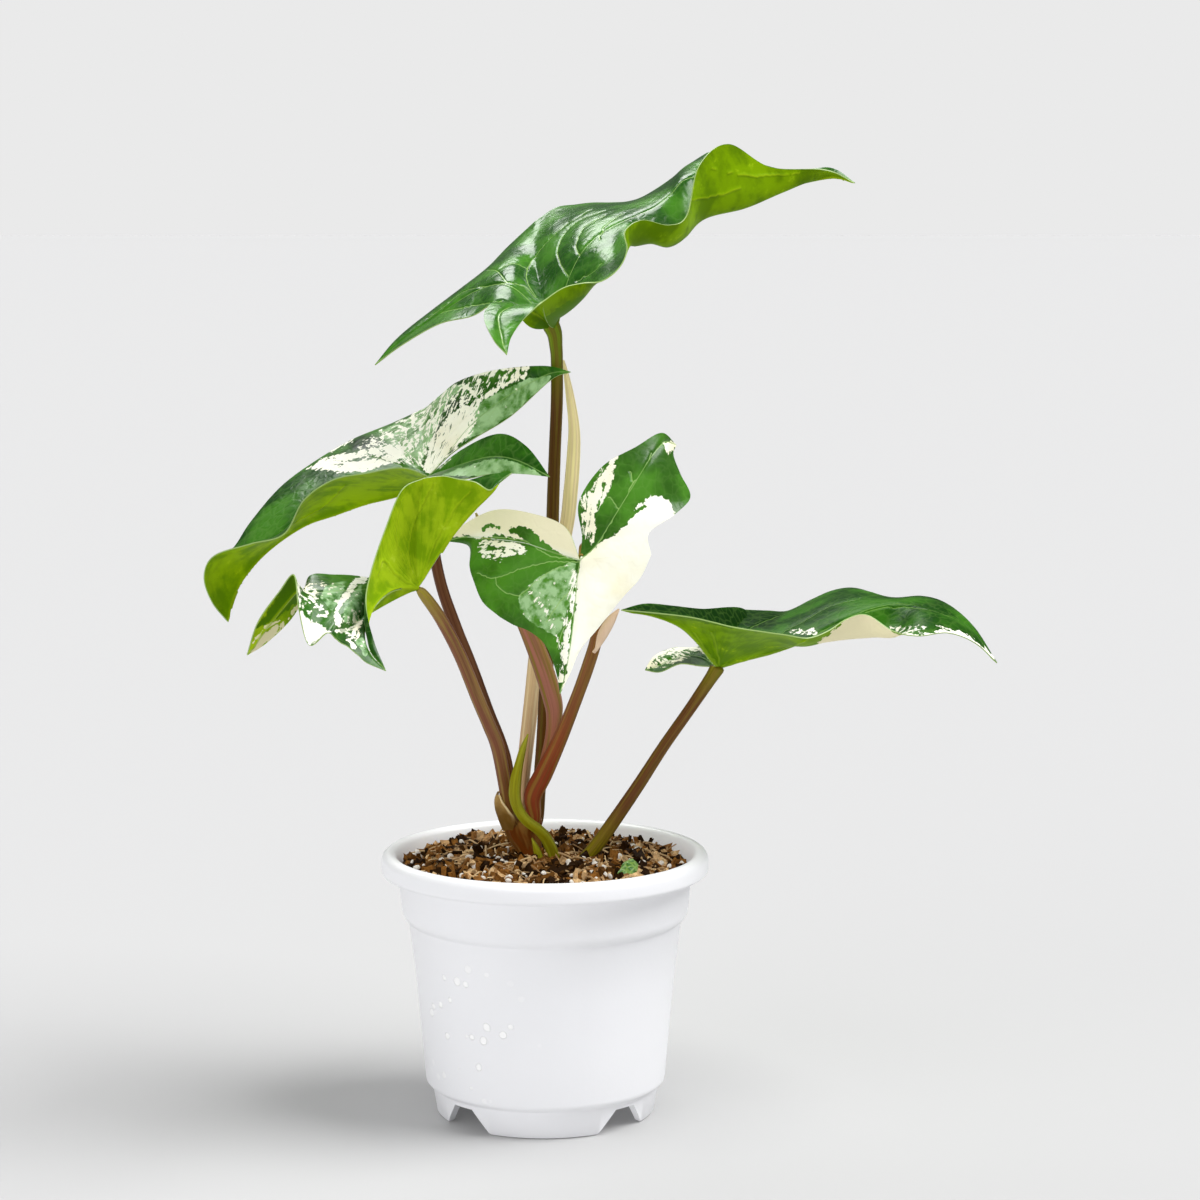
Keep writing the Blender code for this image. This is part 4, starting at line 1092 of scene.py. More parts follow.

# %% [markdown]
# ## The front leaf
# The most striking leaf: its right half is pure cream from the midrib to the margin, and its left
# half is green, with a silvery panel between two veins, dotted with painted glints, and a cream band
# round the left lobe.

# %% Stations and halves of the front leaf
FRONT_HEART = (580, 560, -42)
FRONT_LOBE_1 = [
    ((446, 541, -10), (446, 541, -10), (446, 541, -10)),
    ((463, 525, -16), (466, 537, -16), (469, 546, -17)),
    ((495, 510, -24), (495, 539, -26), (470, 567, -25)),
    ((530, 513, -32), (525, 543, -33), (474, 581, -28)),
    ((565, 527, -38), (552, 552, -38), (483, 602, -32)),
]
FRONT_LOBE_2 = [
    ((676, 445, -12), (676, 445, -12), (676, 445, -12)),
    ((661, 433, -20), (665, 442, -20), (673, 455, -17)),
    ((636, 447, -26), (650, 459, -28), (680, 474, -20)),
    ((602, 467, -30), (632, 488, -34), (690, 497, -20)),
    ((579, 502, -34), (612, 520, -38), (674, 515, -30)),
    ((582, 536, -38), (596, 545, -40), (649, 533, -36)),
]
FRONT_BODY = [
    ((500, 617, -37), FRONT_HEART, (651, 555, -37)),
    ((514, 625, -40), (577, 581, -44), (640, 578, -39)),
    ((529, 631, -43), (575, 605, -47), (622, 598, -42)),
    ((544, 643, -47), (572, 634, -50), (598, 628, -46)),
    ((553, 661, -50), (568, 660, -53), (580, 650, -50)),
    ((558, 679, -53), (564, 679, -54), (570, 673, -53)),
    ((560, 694, -55), (560, 694, -55), (560, 694, -55)),
]
front_paint = {
    "veins": [
        [(578, 560), (565, 558), (551, 556), (536, 548), (524, 541), (508, 537), (490, 536)],
        [(579, 561), (551, 561), (540, 563), (520, 568), (494, 578), (476, 573)],
        [(494, 578), (497, 586), (503, 591), (517, 596)],
        [(569, 563), (547, 572), (529, 586), (518, 596)],
        [(593, 549), (604, 534), (619, 509), (633, 482), (643, 470), (651, 452)],
        [(633, 482), (630, 470)], [(619, 509), (608, 495)],
        [(575, 585), (560, 600), (545, 622)], [(573, 612), (562, 630), (556, 648)],
    ],
    "cream": (
        [(2, [(580, 560), (576.5, 575), (575, 591), (573, 613), (571, 631), (569, 652), (567, 668),
              (562, 692), (575, 694), (662, 580), (700, 515), (674, 516), (672, 507), (667, 499),
              (657, 494), (645, 499), (636, 506), (630, 518), (625, 526), (615, 535), (602, 543),
              (590, 552)]),
         (2, [(664, 443), (671, 441), (677, 445), (672, 450), (668, 456), (665, 450)]),
         (1, [(446, 538), (460, 515), (493, 505), (520, 505), (550, 508), (568, 520), (580, 540), (580, 560),
              (565, 557), (556, 553), (549, 545), (541, 538), (531, 531), (521, 527), (511, 533), (524, 539),
              (511, 537), (494, 535), (476, 538), (460, 536)])],
        [(2, 1.5, [(592, 545), (593, 528), (592, 508), (595, 494), (601, 480), (608, 468), (616, 456)]),
         (2, 3.2, [(594, 512), (595, 498), (600, 484)]),
         (2, 1.4, [(604, 492), (611, 479), (615, 466)]),
         (2, 1.0, [(585, 505), (586, 520), (588, 532)]),
         (1, 1.0, [(482, 547), (496, 545), (512, 546), (524, 549)]),
         (1, 1.2, [(487, 553), (500, 551), (512, 552)]),
         (1, 0.9, [(484, 541), (500, 542), (514, 545)])],
        [(1, 1.5, [(483, 529), (490, 525), (500, 527)]),
         (1, 2.0, [(512, 529), (520, 532), (528, 538), (540, 544)]),
         (2, 1.8, [(574, 605), (575, 610)]),
         (2, 0.9, [(630, 517), (636, 512), (643, 507)])]),
    "marble": (
        [(2, [(582, 540), (580, 500), (600, 470), (618, 455), (612, 490), (598, 515), (596, 540)]),
         (1, [(476, 540), (520, 541), (530, 552), (500, 562), (480, 560)])],
        [(1, 5.0, [(574, 572), (570, 610), (564, 650), (560, 680)]),
         (1, 3.0, [(528, 590), (545, 610), (556, 635), (563, 655)])], ()),
    "silver_and_sheen": (
        [(1, [(518, 596), (529, 586), (540, 577), (554, 569), (569, 563), (577, 563), (575, 581), (573, 599),
              (566, 612), (562, 630), (555, 636), (537, 626), (526, 617), (520, 608)])], (), ()),
    "warm": ([(1, [(440, 545), (455, 500), (575, 500), (585, 560), (540, 545), (490, 530)])], (), ()),
    "cream_below": ([(2, [(580, 560), (560, 695), (720, 560), (700, 500), (640, 500)])], (), ()),
}
front_green = upper_side("half_green_half_cream", (0.028, 0.110, 0.006), (0.066, 0.23, 0.014),
                         (0.30, 0.50, 0.14), gloss=0.26, shine=0.3, silver_and_sheen_colour=(0.35, 0.56, 0.27),
                         net=0.05, vein_shows=0.8, relief=0.15, speck=0.23, glint_level=0.64)
leaf("front_leaf", (FRONT_LOBE_1, FRONT_LOBE_2, FRONT_BODY), -1, front_paint,
     (front_green, lime_below, pale_rim), spacing=0.8)

# %% [markdown]
# ## The right leaf
# It reaches far out to the right. The near half stands up like the side of a boat, so its olive
# underside shows, with a cream flap and a streaked white margin towards the point.

# %% Stations and flap of the right leaf
RIGHT_HEART = (718, 667, -4)
RIGHT_LOBE_1 = [
    ((645, 670, 10), (645, 670, 10), (645, 670, 10)),
    ((660, 672, 8), (658, 665, 12), (655, 656, 18)),
    ((680, 664, 6), (678, 656, 14), (674, 648, 26)),
    ((700, 666, 2), (700, 656, 10), (702, 645, 36)),
]
RIGHT_LOBE_2 = [
    ((621, 610, -34), (621, 610, -34), (621, 610, -34)),
    ((645, 604, -24), (650, 614, -30), (655, 613, -37)),
    ((672, 606, -12), (679, 625, -25), (689, 617, -38)),
    ((700, 609, 4), (698, 642, -17), (712, 622, -38)),
    ((746, 612, 38), (709, 657, -10), (728, 626, -37)),
]
RIGHT_BODY = [
    ((745, 610, 46), RIGHT_HEART, (744, 629, -36)),
    ((768, 611, 50), (745, 659, -4), (765, 632, -36)),
    ((788, 611, 52), (772, 652, -4), (786, 635, -34)),
    ((811, 600, 54), (800, 642, -3), (808, 638, -31), None, (803, 646, -18)),
    ((832, 591, 54), (822, 630, 0), (828, 631, -27), None, (825, 642, -13)),
    ((852, 588, 52), (846, 618, 2), (847, 619, -22), None, (848, 639, -10)),
    ((872, 593, 48), (870, 608, 4), (867, 615, -20), None, (872, 637, -8)),
    ((895, 603, 42), (895, 603, 4), (893, 631, -20), None, (895, 634, -10)),
    ((921, 598, 36), (920, 605, 2), (918, 636, -24)),
    ((944, 604, 26), (948, 613, -2), (948, 633, -22)),
    ((971, 626, 10), (973, 631, -6), (975, 643, -16)),
    ((997, 663, -9), (997, 663, -9), (997, 663, -9)),
]
right_paint = {
    "veins": [
        [(749, 627), (765, 620), (783, 613)],
        [(781, 632), (795, 624), (810, 616), (830, 605), (860, 597)],
        [(818, 632), (835, 622), (852, 616), (888, 607), (927, 608), (960, 619)],
        [(719, 666), (717, 650), (712, 632)],
        [(718, 666), (705, 648), (694, 632)],
        [(720, 666), (757, 656), (788, 648), (812, 638)],
    ],
    "cream_below": (
        [(2, [(818, 641), (828, 634), (838, 626), (846, 617), (857, 611), (873, 613), (884, 621), (893, 631),
              (907, 636), (907, 644), (818, 646)])],
        [(2, 1.4, [(926, 637), (948, 634), (966, 638), (978, 646), (992, 657)])], ()),
    # Painted shade over the left of the far half.
    "shade": ([(0, [(621, 612), (645, 603), (700, 605), (745, 609), (786, 612), (770, 630), (745, 629),
                    (712, 624), (689, 618), (655, 614)])], (), ()),
    "cream": (
        (), [(0, 1.4, [(790, 634), (804, 632), (815, 632)]),
             (0, 1.8, [(926, 635), (948, 633), (964, 636), (978, 645), (992, 657)]),
             (1, 2.0, [(648, 666), (658, 654), (678, 649), (698, 649), (709, 655)])], ()),
    "marble": (
        [(2, [(888, 627), (918, 622), (946, 626), (972, 638), (994, 662), (960, 645), (905, 640)]),
         (1, [(640, 675), (645, 655), (680, 645), (700, 648), (690, 658), (660, 672)])], (), ()),
    "marble_below": (
        [(2, [(890, 615), (930, 610), (965, 615), (998, 662), (960, 642), (905, 642)]),
         (1, [(640, 675), (645, 655), (680, 645), (700, 648), (690, 658), (660, 672)])], (), ()),
}
olive_below = lower_side("olive_underside", (0.18, 0.34, 0.002), (0.10, 0.22, 0.001),
                         vein_colour=(0.28, 0.44, 0.02))
right_green = upper_side("dark_green_satin", (0.008, 0.055, 0.002), (0.035, 0.15, 0.006),
                         (0.20, 0.38, 0.07), gloss=0.34, shine=0.05, relief=0.2, speck=0.2)
leaf("right_leaf", (RIGHT_LOBE_1, RIGHT_LOBE_2, RIGHT_BODY), 1, right_paint,
     (right_green, olive_below, pale_rim), spacing=1.05, quilt=0.2)

# %% [markdown]
# ## Stems and sheaths
# A petiole is a leaf's own stem: round, a little fluted, and stiff with water. It grows out of the
# sheath of an older one. Each is a grid that is closed into a tube along its stations, lower end
# first, and its last ring lies in the blade's heart, so that leaf and stem are one growth.

# %% A tube along stations
RING_SPACING = 0.9
THINNEST = 0.05


def tube_along(name, stations, flute=0.03, ribs=5, around=28, flat=0.0):
    """A fluted tube; `flat` says how much thinner it is than wide."""
    stations = np.asarray(stations, dtype=float)
    spots = sight(stations[:, :3])
    places = even_places([spots], RING_SPACING)
    rings = curve(spots, places)
    radii = np.clip(curve(stations[:, 3:4], places)[:, 0], THINNEST, None)
    aims = np.gradient(rings, axis=0)
    aims /= np.linalg.norm(aims, axis=1)[:, None]
    side = np.cross(aims[0], [0.0, 1.0, 0.2])
    angle = np.linspace(0, 2 * math.pi, around + 1)
    shape = 1 + flute * np.cos(ribs * angle)
    grid = np.empty((len(rings), around + 1, 3))
    for k, (centre, aim) in enumerate(zip(rings, aims)):
        side = side - aim * (side @ aim)
        side /= np.linalg.norm(side)
        other = np.cross(aim, side)
        grid[k] = centre + radii[k] * shape[:, None] * (
            np.cos(angle)[:, None] * side + (1 - flat) * np.sin(angle)[:, None] * other)
    run = np.linspace(0, 1, len(rings))[:, None] * np.ones((1, around + 1))
    front = np.ones((len(rings), 1)) * np.abs(np.sin(angle))[None, :]
    return shaped_grid(name, grid, False, {"run": run, "front": front})


def close_ends(tube):
    """Merge the seam, fill the open ends and turn all faces outward."""
    only(tube)
    edit_all()
    bpy.ops.mesh.remove_doubles(threshold=0.02 * MM)
    bpy.ops.mesh.select_all(action="SELECT")
    bpy.ops.mesh.fill_holes(sides=0)
    bpy.ops.mesh.select_all(action="SELECT")
    bpy.ops.mesh.normals_make_consistent(inside=False)
    bpy.ops.object.mode_set(mode="OBJECT")
    bpy.ops.object.shade_smooth_by_angle(angle=math.radians(60))


def dress(piece, finish, node=None):
    piece.data.materials.clear()
    piece.data.materials.append(finish.material)
    if node:
        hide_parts(node)
    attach(piece, "root")


def stem(node, stations, finish, slot, **shape):
    tube = tube_along(node + "_dressed", stations, **shape)
    close_ends(tube)
    dress(tube, finish, node)
    print(node, len(tube.data.polygons), "faces")


# %% [markdown]
# The stems change colour along their length: red or brown near the soil, purple brown in the
# middle and green where they meet the leaf, with fine streaks that run lengthwise. Their two flanks,
# as the camera sees them, are painted darker as shade. The grid's own UV map runs round and along
# the stem, so a noise that is stretched in it follows every bend.

# %% Stem colours
def stem_finish(name, low, middle, high, streak, amount, turn_low=(0.05, 0.4), turn_high=(0.8, 1.0),
                gloss=0.38, grooves=0.35):
    """`amount` is how much of the streaks shows, and the turns are where the colours change."""
    skin = Finish(name, roughness=gloss, shine=0.12)
    run = skin.painted("run")
    strands = skin.node("ShaderNodeVectorMath", {"operation": "MULTIPLY"}, {
        0: skin.node("ShaderNodeTexCoord", {}, {}, "UV"), 1: (9.0, 1.6, 0.0)})
    lengthwise = skin.node("ShaderNodeTexNoise", {},
                           {"Vector": strands, "Scale": 2.6, "Detail": 3.0}, 0)
    broad = skin.node("ShaderNodeTexNoise", {}, {"Vector": strands, "Scale": 1.0, "Detail": 2.0}, 0)
    colour = skin.mix(run.rise(*turn_low), low, middle)
    colour = skin.mix(run.rise(*turn_high), colour, high)
    colour = skin.mix(broad.rise(0.45, 0.58) * amount, colour, streak)
    colour = skin.mix(lengthwise.rise(0.40, 0.66) * grooves, colour, darker(middle, 0.45))
    # Painted shade: the two flanks that turn away from the camera are darkened.
    painted_flank_shade = skin.painted("front").fall(0.05, 0.75) * 0.45
    skin.feed("Base Color", skin.mix(painted_flank_shade, colour, darker(middle, 0.35)))
    skin.feed("Roughness", gloss + lengthwise * 0.12)
    skin.bump(lengthwise + broad, 0.12)
    return skin


brown = stem_finish("purple_brown_skin", (0.13, 0.050, 0.004), (0.085, 0.034, 0.006),
                    (0.17, 0.26, 0.006), (0.15, 0.105, 0.012), 0.7, turn_high=(0.80, 0.99))
chocolate = stem_finish("dark_brown_skin", (0.14, 0.045, 0.008), (0.105, 0.036, 0.014),
                        (0.17, 0.12, 0.01), (0.19, 0.085, 0.04), 0.7)
mauve = stem_finish("olive_mauve_skin", (0.18, 0.070, 0.012), (0.22, 0.085, 0.045),
                    (0.34, 0.28, 0.03), (0.32, 0.22, 0.06), 0.7)
russet = stem_finish("red_brown_skin", (0.27, 0.050, 0.014), (0.22, 0.085, 0.028),
                     (0.30, 0.20, 0.04), (0.30, 0.19, 0.035), 0.6, turn_low=(0.15, 0.5))
olive = stem_finish("olive_brown_skin", (0.26, 0.22, 0.006), (0.15, 0.060, 0.018),
                    (0.22, 0.20, 0.01), (0.22, 0.15, 0.02), 0.6, turn_low=(0.10, 0.40))
husk = stem_finish("dry_tan_husk", (0.58, 0.36, 0.20), (0.72, 0.52, 0.28), (0.96, 0.84, 0.42),
                   (0.88, 0.72, 0.42), 0.8, turn_high=(0.45, 0.75), gloss=0.55, grooves=0.25)
pink = stem_finish("pink_mauve_sheath", (0.34, 0.12, 0.04), (0.38, 0.15, 0.10), (0.62, 0.55, 0.22),
                   (0.22, 0.16, 0.02), 0.9, turn_low=(0.1, 0.4), turn_high=(0.85, 0.98))
lime_skin = stem_finish("lime_shoot_skin", (0.18, 0.15, 0.003), (0.26, 0.24, 0.004),
                        (0.34, 0.32, 0.03), (0.34, 0.36, 0.02), 0.6)
base_skin = stem_finish("stem_base_skin", (0.17, 0.07, 0.004), (0.16, 0.040, 0.004),
                        (0.20, 0.07, 0.01), (0.27, 0.14, 0.03), 0.7)
print("stem colours ready")

# %% [markdown]
# Now the stations of each stem, as (across, down, depth, radius in millimetres).

# %% The five petioles
TOP_PETIOLE = [(536, 824, 8, 2.2), (538, 815, 9, 2.3), (540, 780, 10.5, 2.4), (543, 740, 11, 2.4),
               (545, 700, 11, 2.4), (548, 650, 11, 2.4), (552, 570, 9.5, 2.3), (553, 510, 8, 2.3),
               (555, 450, 6, 2.2), (557, 400, 4, 2.2), (557, 360, 3, 2.2), (556, 345, 2, 2.4),
               (555, 335, 1, 2.7), (553, 329, 0.5, 3.0), (550, 323, 0, 3.0), (547, 319, 0, 1.6)]
LEFT_PETIOLE = [(516, 824, 1.5, 2.0), (512, 815, 1.5, 2.3), (507, 768, 3, 2.3), (500, 742, 3.5, 2.3),
                (488, 712, 4, 2.3), (471, 665, 5, 2.2), (455, 625, 6, 2.2), (440, 580, 7, 2.1),
                (430, 525, 8, 2.1), (427, 489, 8, 2.0), (427, 480, 8, 1.0)]
LOW_PETIOLE = [(514, 824, -3, 2.0), (509, 815, -5, 2.3), (505, 785, -5.6, 2.4), (498, 748, -7.5, 2.5),
               (489, 725, -9.5, 2.4), (478, 699, -12, 2.4), (460, 655, -18, 2.3), (441, 619, -25, 2.2),
               (424, 595, -30.5, 1.9), (418, 589, -32, 1.0)]
FRONT_PETIOLE = [(534, 824, -3, 2.0), (535, 815, -3.5, 2.3), (533, 796, -4, 3.3), (544, 773, -4.5, 3.4),
                 (561, 737, -8, 2.7), (576, 700, -13, 2.3), (589, 664, -19, 2.3), (597, 636, -25, 2.2),
                 (600, 605, -30, 2.1), (594, 570, -33, 2.1), (585, 548, -36, 1.9), (581, 557, -41, 1.0)]
RIGHT_PETIOLE = [(569, 880, -1, 2.6), (583, 862, -1.5, 2.6), (597, 845, -2, 2.6), (612, 824, -2.5, 2.5),
                 (638, 786, -3, 2.3), (664, 746, -3, 2.1), (690, 709, -4, 2.1), (709, 681, -4, 2.3),
                 (715.5, 671, -4, 2.6), (717.5, 667.5, -4, 2.6), (718, 665.5, -4, 1.0)]
for node, stations, finish, slot in (
        ("top_petiole", TOP_PETIOLE, brown, "purple_brown_stem"),
        ("upper_left_petiole", LEFT_PETIOLE, chocolate, "purple_brown_stem"),
        ("lower_left_petiole", LOW_PETIOLE, mauve, "purple_brown_stem"),
        ("front_petiole", FRONT_PETIOLE, russet, "red_brown_stem"),
        ("right_petiole", RIGHT_PETIOLE, olive, "purple_brown_stem")):
    stem(node, stations, finish, slot)

# %% [markdown]
# Between the petioles stand the sheaths that once wrapped the young leaves, and at the foot a new
# shoot is coming up. They are flatter than the petioles and taper to a point.

# %% Sheaths, shoot and stem base
DRY_SHEATH = [(521, 822, 9.5, 2.0), (520, 815, 10.5, 2.3), (524, 770, 14, 2.6), (532, 700, 17, 2.8),
              (539, 640, 18, 2.8), (553, 580, 17, 2.7), (566, 530, 12.5, 2.6), (571, 490, 9.5, 2.6),
              (574, 450, 9.5, 2.4), (574, 425, 9.5, 2.0), (570, 395, 9.5, 1.5), (566, 373, 9.5, 0.9),
              (563.5, 360, 9.5, 0.3)]
SIDE_SHEATH = [(529, 823, 3, 1.8), (530, 815, 3, 2.0), (541, 780, 3.8, 2.2), (551, 742, 4, 2.3),
               (555, 716, 3, 3.0), (553, 698, 2, 3.5), (543, 665, 0, 3.6), (529, 630, -2, 3.2),
               (511, 592, -4, 2.6), (496, 560, -4, 2.0), (484, 533, -5, 1.4), (476, 513, -6, 0.4)]
GREEN_SPEAR = [(556, 878, -5, 2.3), (555, 861, -5.5, 2.3), (549, 843, -7, 2.2), (540, 831, -9.5, 2.0),
               (526, 820, -11, 1.9), (518, 808, -11, 2.0), (515, 795, -11, 2.2), (516, 780, -10.5, 2.1),
               (519, 765, -10, 1.6), (523, 749, -10, 1.2), (528, 734, -10, 0.3)]
GREEN_SCALE = [(543, 878, -8.5, 1.8), (541, 866, -8.5, 1.8), (537, 850, -9.5, 1.3), (532, 838, -9.8, 0.3)]
PEACH_BRACT = [(594, 652, -29, 0.6), (597, 648, -31.5, 0.7), (603, 634, -32.5, 1.7), (611, 620, -33, 1.5),
               (619, 609, -33, 0.3)]
STEM_BASE = [(531, 882, 1, 4.3), (531, 856, 1, 4.3), (529, 846, 1.5, 4.8), (524, 830, 2, 6.5),
             (523, 820, 2, 7.1), (523, 817, 2, 5.5)]
peach = Finish("peach_dry_bract", roughness=0.6)
peach_streak = peach.noise(1.0, where=peach.stretched(1.0, 1.0, 0.15))
peach.feed("Base Color", peach.mix(peach_streak, (0.66, 0.42, 0.27), (0.86, 0.68, 0.50)))
stem("dry_sheath", DRY_SHEATH, husk, "pale_dry_sheath", flute=0.10, ribs=3, flat=0.15)
stem("side_sheath", SIDE_SHEATH, pink, "red_brown_stem", flute=0.10, ribs=3, flat=0.15)
stem("green_shoot", GREEN_SPEAR, lime_skin, "green_shoot", flute=0.05, ribs=3)
stem("green_scale", GREEN_SCALE, lime_skin, "green_shoot", flute=0.05, ribs=3)
stem("peach_bract", PEACH_BRACT, peach, "peach_bract", flute=0.10, ribs=2, flat=0.2)
stem("stem_base", STEM_BASE, base_skin, "purple_brown_stem", flute=0.06, ribs=7, around=56)

# %% [markdown]
# Two small sheets are left: the torn scale that clasps the stem's left side, and a crumpled seedling
# leaf on the soil. Both are short rows of three places, bent into a curve and given thickness.

# %% Small sheets
TORN_SCALE = [
    ((499, 791, -2.5), (497, 794, -5.2), (499.5, 795, -8.2)),
    ((497.5, 798, -2), (495.5, 800, -6.2), (503.5, 803, -9)),
    ((498, 806, -1.6), (496.5, 808, -6.6), (510, 811.5, -9.4)),
    ((500, 815, -1), (499.5, 817, -6.2), (515, 819, -9.4)),
    ((503, 830, 0.6), (505, 830, -3.2), (513, 830, -6.2)),
]
SEEDLING = [
    ((617, 874, -26), (620, 870, -24), (622, 866, -22)),
    ((621, 877, -27), (626, 868, -24), (628, 860, -21)),
    ((629, 877, -27), (632, 868, -24), (634, 860, -21)),
    ((634, 875, -26), (637, 870, -24), (638, 865, -22)),
]


SHEET_THICKNESS = 0.5
SHEET_COLUMNS = 25
WAVES_ALONG, WAVES_ACROSS = 5.0, 9.0


def small_sheet(node, rows, finish, crumple):
    rails = [sight([row[k] for row in rows]) for k in range(3)]
    places = even_places(rails, 0.5)
    a, b, c = (curve(rail, places) for rail in rails)
    t = np.linspace(0, 1, SHEET_COLUMNS)[None, :, None]
    sag = (b - (a + c) / 2)[:, None]
    grid = a[:, None] * (1 - t) + c[:, None] * t + sag * 4 * t * (1 - t)
    wave = crumple * np.sin(places * WAVES_ALONG)[:, None] * np.sin(t[..., 0] * WAVES_ACROSS)
    grid[..., 1] += wave
    grid[..., 2] += wave * 0.6
    run = np.linspace(0, 1, len(places))[:, None] * np.ones((1, SHEET_COLUMNS))
    front = np.abs(t[..., 0] - 0.5) * 2 + 0 * run
    sheet = shaped_grid(node + "_dressed", grid, False, {"run": run, "front": front})
    thicken(sheet, SHEET_THICKNESS)
    bpy.ops.object.shade_smooth_by_angle(angle=math.radians(60))
    dress(sheet, finish, node)


crumpled = Finish("crumpled_seedling_green", roughness=0.45)
crumple_net = crumpled.net(2.2)
crumple_lines = crumple_net.fall(0.0, 0.25)
crumpled.feed("Base Color", crumpled.mix(crumple_lines, (0.045, 0.17, 0.012), (0.20, 0.36, 0.05)))
crumpled.bump(crumple_net, 0.5)
torn = Finish("torn_scale_husk", roughness=0.55, shine=0.15)
torn_streak = torn.noise(1.2, where=torn.stretched(1.0, 1.0, 0.15))
torn_run = torn.painted("run")
torn_colour = torn.mix(torn_run.rise(0.10, 0.60), (0.42, 0.26, 0.08), (0.15, 0.075, 0.010))
torn_colour = torn.mix(torn_streak.rise(0.40, 0.65) * 0.5, torn_colour, (0.20, 0.11, 0.03))
torn_edge = torn.painted("front").rise(0.80, 0.95) * torn_run.fall(0.25, 0.75)
torn.feed("Base Color", torn.mix(torn_edge, torn_colour, (0.78, 0.62, 0.34)))
small_sheet("torn_scale", TORN_SCALE, torn, crumple=0.15)
small_sheet("seedling", SEEDLING, crumpled, crumple=0.7)
print("small sheets done")

# %% [markdown]
# ## The potting mix
# The mix is bark and coir chips with white perlite. The plain model already fills the pot, so it
# stays and gets a dark crumbly finish, and loose chips are strewn on it.

# %% Soil
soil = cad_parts["soil"]
crumbs = Finish("potting_mix_crumbs", roughness=0.9, shine=0.1)
grains = crumbs.noise(1.4, detail=5.0, rough=0.7)
crumbs.feed("Base Color", crumbs.mix(grains.rise(0.40, 0.65), (0.020, 0.009, 0.003),
                                     (0.12, 0.06, 0.022)))
crumbs.bump(grains, 1.2)
soil.data.materials.clear()
soil.data.materials.append(crumbs.material)
print("soil has", len(soil.data.polygons), "faces")

# %% [markdown]
# Each kind of grain is modelled once, and every other is a copy with its own size, turn and tone.
# A ray from above finds the soil under it. Where a stem stands in its hole, or the seedling lies,
# no chip is laid, and towards the pot's wall the chips lie lower, as mix settles there.

# %% Strewing copies
HOLE_LINE = 85.0            # soil below this height is the floor of a stem's hole
EDGE_SINK = 1.6
SEEDLING_CLEARANCE = 5.0
SEEDLING_SPOT = sight([(628, 868, -25)])[0] - (0.0, 1.5, 0.0)
soil_tree = BVHTree.FromObject(soil, bpy.context.evaluated_depsgraph_get())
chance = random.Random(11)


def on_soil(x, y):
    """Height of the soil's top at a place in millimetres, or None where a stem's hole is."""
    spot = soil_tree.ray_cast(Vector(metres((x, y, 150.0))), Vector((0, 0, -1)))[0]
    return spot.z / MM if spot and spot.z > HOLE_LINE * MM else None


def strewn(name, model, count, sizes, lift, finish, reach=50.0, tilt=0.7):
    """Many copies of one model, each with its own mesh, joined to one piece."""
    copies = []
    for index in range(count):
        angle, radius = chance.uniform(0, 2 * math.pi), reach * math.sqrt(chance.random())
        x, y = radius * math.cos(angle), radius * math.sin(angle)
        height = on_soil(x, y)
        beside = math.hypot(x - SEEDLING_SPOT[0], y - SEEDLING_SPOT[1])
        if height is None or beside < SEEDLING_CLEARANCE:
            continue
        height -= EDGE_SINK * (radius / reach) ** 6
        copy = model.copy()
        copy.data = model.data.copy()
        bpy.context.scene.collection.objects.link(copy)
        copy.scale = [chance.uniform(low, high) * MM for low, high in sizes]
        copy.rotation_euler = (chance.gauss(0, tilt), chance.gauss(0, tilt), chance.uniform(0, 6.3))
        copy.location = metres((x, y, height + chance.uniform(*lift)))
        write_values(copy.data, "tone", np.full(len(copy.data.vertices), chance.random()))
        copies.append(copy)
    bpy.data.objects.remove(model, do_unlink=True)
    whole = joined(name, copies, merge=0)
    bpy.ops.object.transform_apply(location=True, rotation=True, scale=True)
    dress(whole, finish)
    print(name, len(copies), "copies,", len(whole.data.polygons), "faces")


# %% [markdown]
# A chip of bark is a block with its corners pulled about. Its tone, one number for each chip, picks
# from dark, red brown and, for a few, the pale tan of fresh coir.

# %% Bark chips
nothing_selected()
bpy.ops.mesh.primitive_cube_add(size=1)
chip = bpy.context.object
edit_all()
bpy.ops.mesh.subdivide(number_cuts=1)
bpy.ops.transform.vertex_random(offset=0.17, seed=4)
bpy.ops.object.mode_set(mode="OBJECT")

bark = Finish("bark_chips", roughness=0.8, shine=0.06)
bark_tone = bark.painted("tone")
bark_grain = bark.noise(0.8, detail=4.0, rough=0.7)
bark_colour = bark.mix(bark_tone.rise(0.20, 0.72), (0.016, 0.006, 0.001), (0.30, 0.125, 0.024))
bark_colour = bark.mix(bark_tone.rise(0.76, 0.95), bark_colour, (0.82, 0.55, 0.28))
bark.feed("Base Color", bark.mix(bark_grain.rise(0.35, 0.7) * 0.6, bark_colour,
                                 (0.035, 0.015, 0.005)))
bark.bump(bark_grain, 0.35)
strewn("bark_chips", chip, 1900, ((1.6, 7.5), (1.0, 3.4), (0.7, 2.2)), (-0.4, 2.8), bark)

# %% [markdown]
# Perlite is a foamed glass, so its grains are rounder, lighter and lie higher in the mix.

# %% Perlite
nothing_selected()
bpy.ops.mesh.primitive_ico_sphere_add(subdivisions=2, radius=0.5)
perlite = bpy.context.object
edit_all()
bpy.ops.transform.vertex_random(offset=0.07, seed=2)
bpy.ops.object.mode_set(mode="OBJECT")

white_grain = Finish("perlite_grains", roughness=0.85)
white_noise = white_grain.noise(0.5, detail=3.0)
white_grain.feed("Base Color", white_grain.mix(white_noise, (0.62, 0.56, 0.48), (0.90, 0.87, 0.82)))
white_grain.bump(white_noise, 0.2)
strewn("perlite_grains", perlite, 130, ((1.6, 3.2), (1.4, 2.8), (1.2, 2.4)), (2.0, 3.4), white_grain)

# %% [markdown]
# A coir fibre is a thin rod, cut three times across so that it can be bent, and lies almost flat.

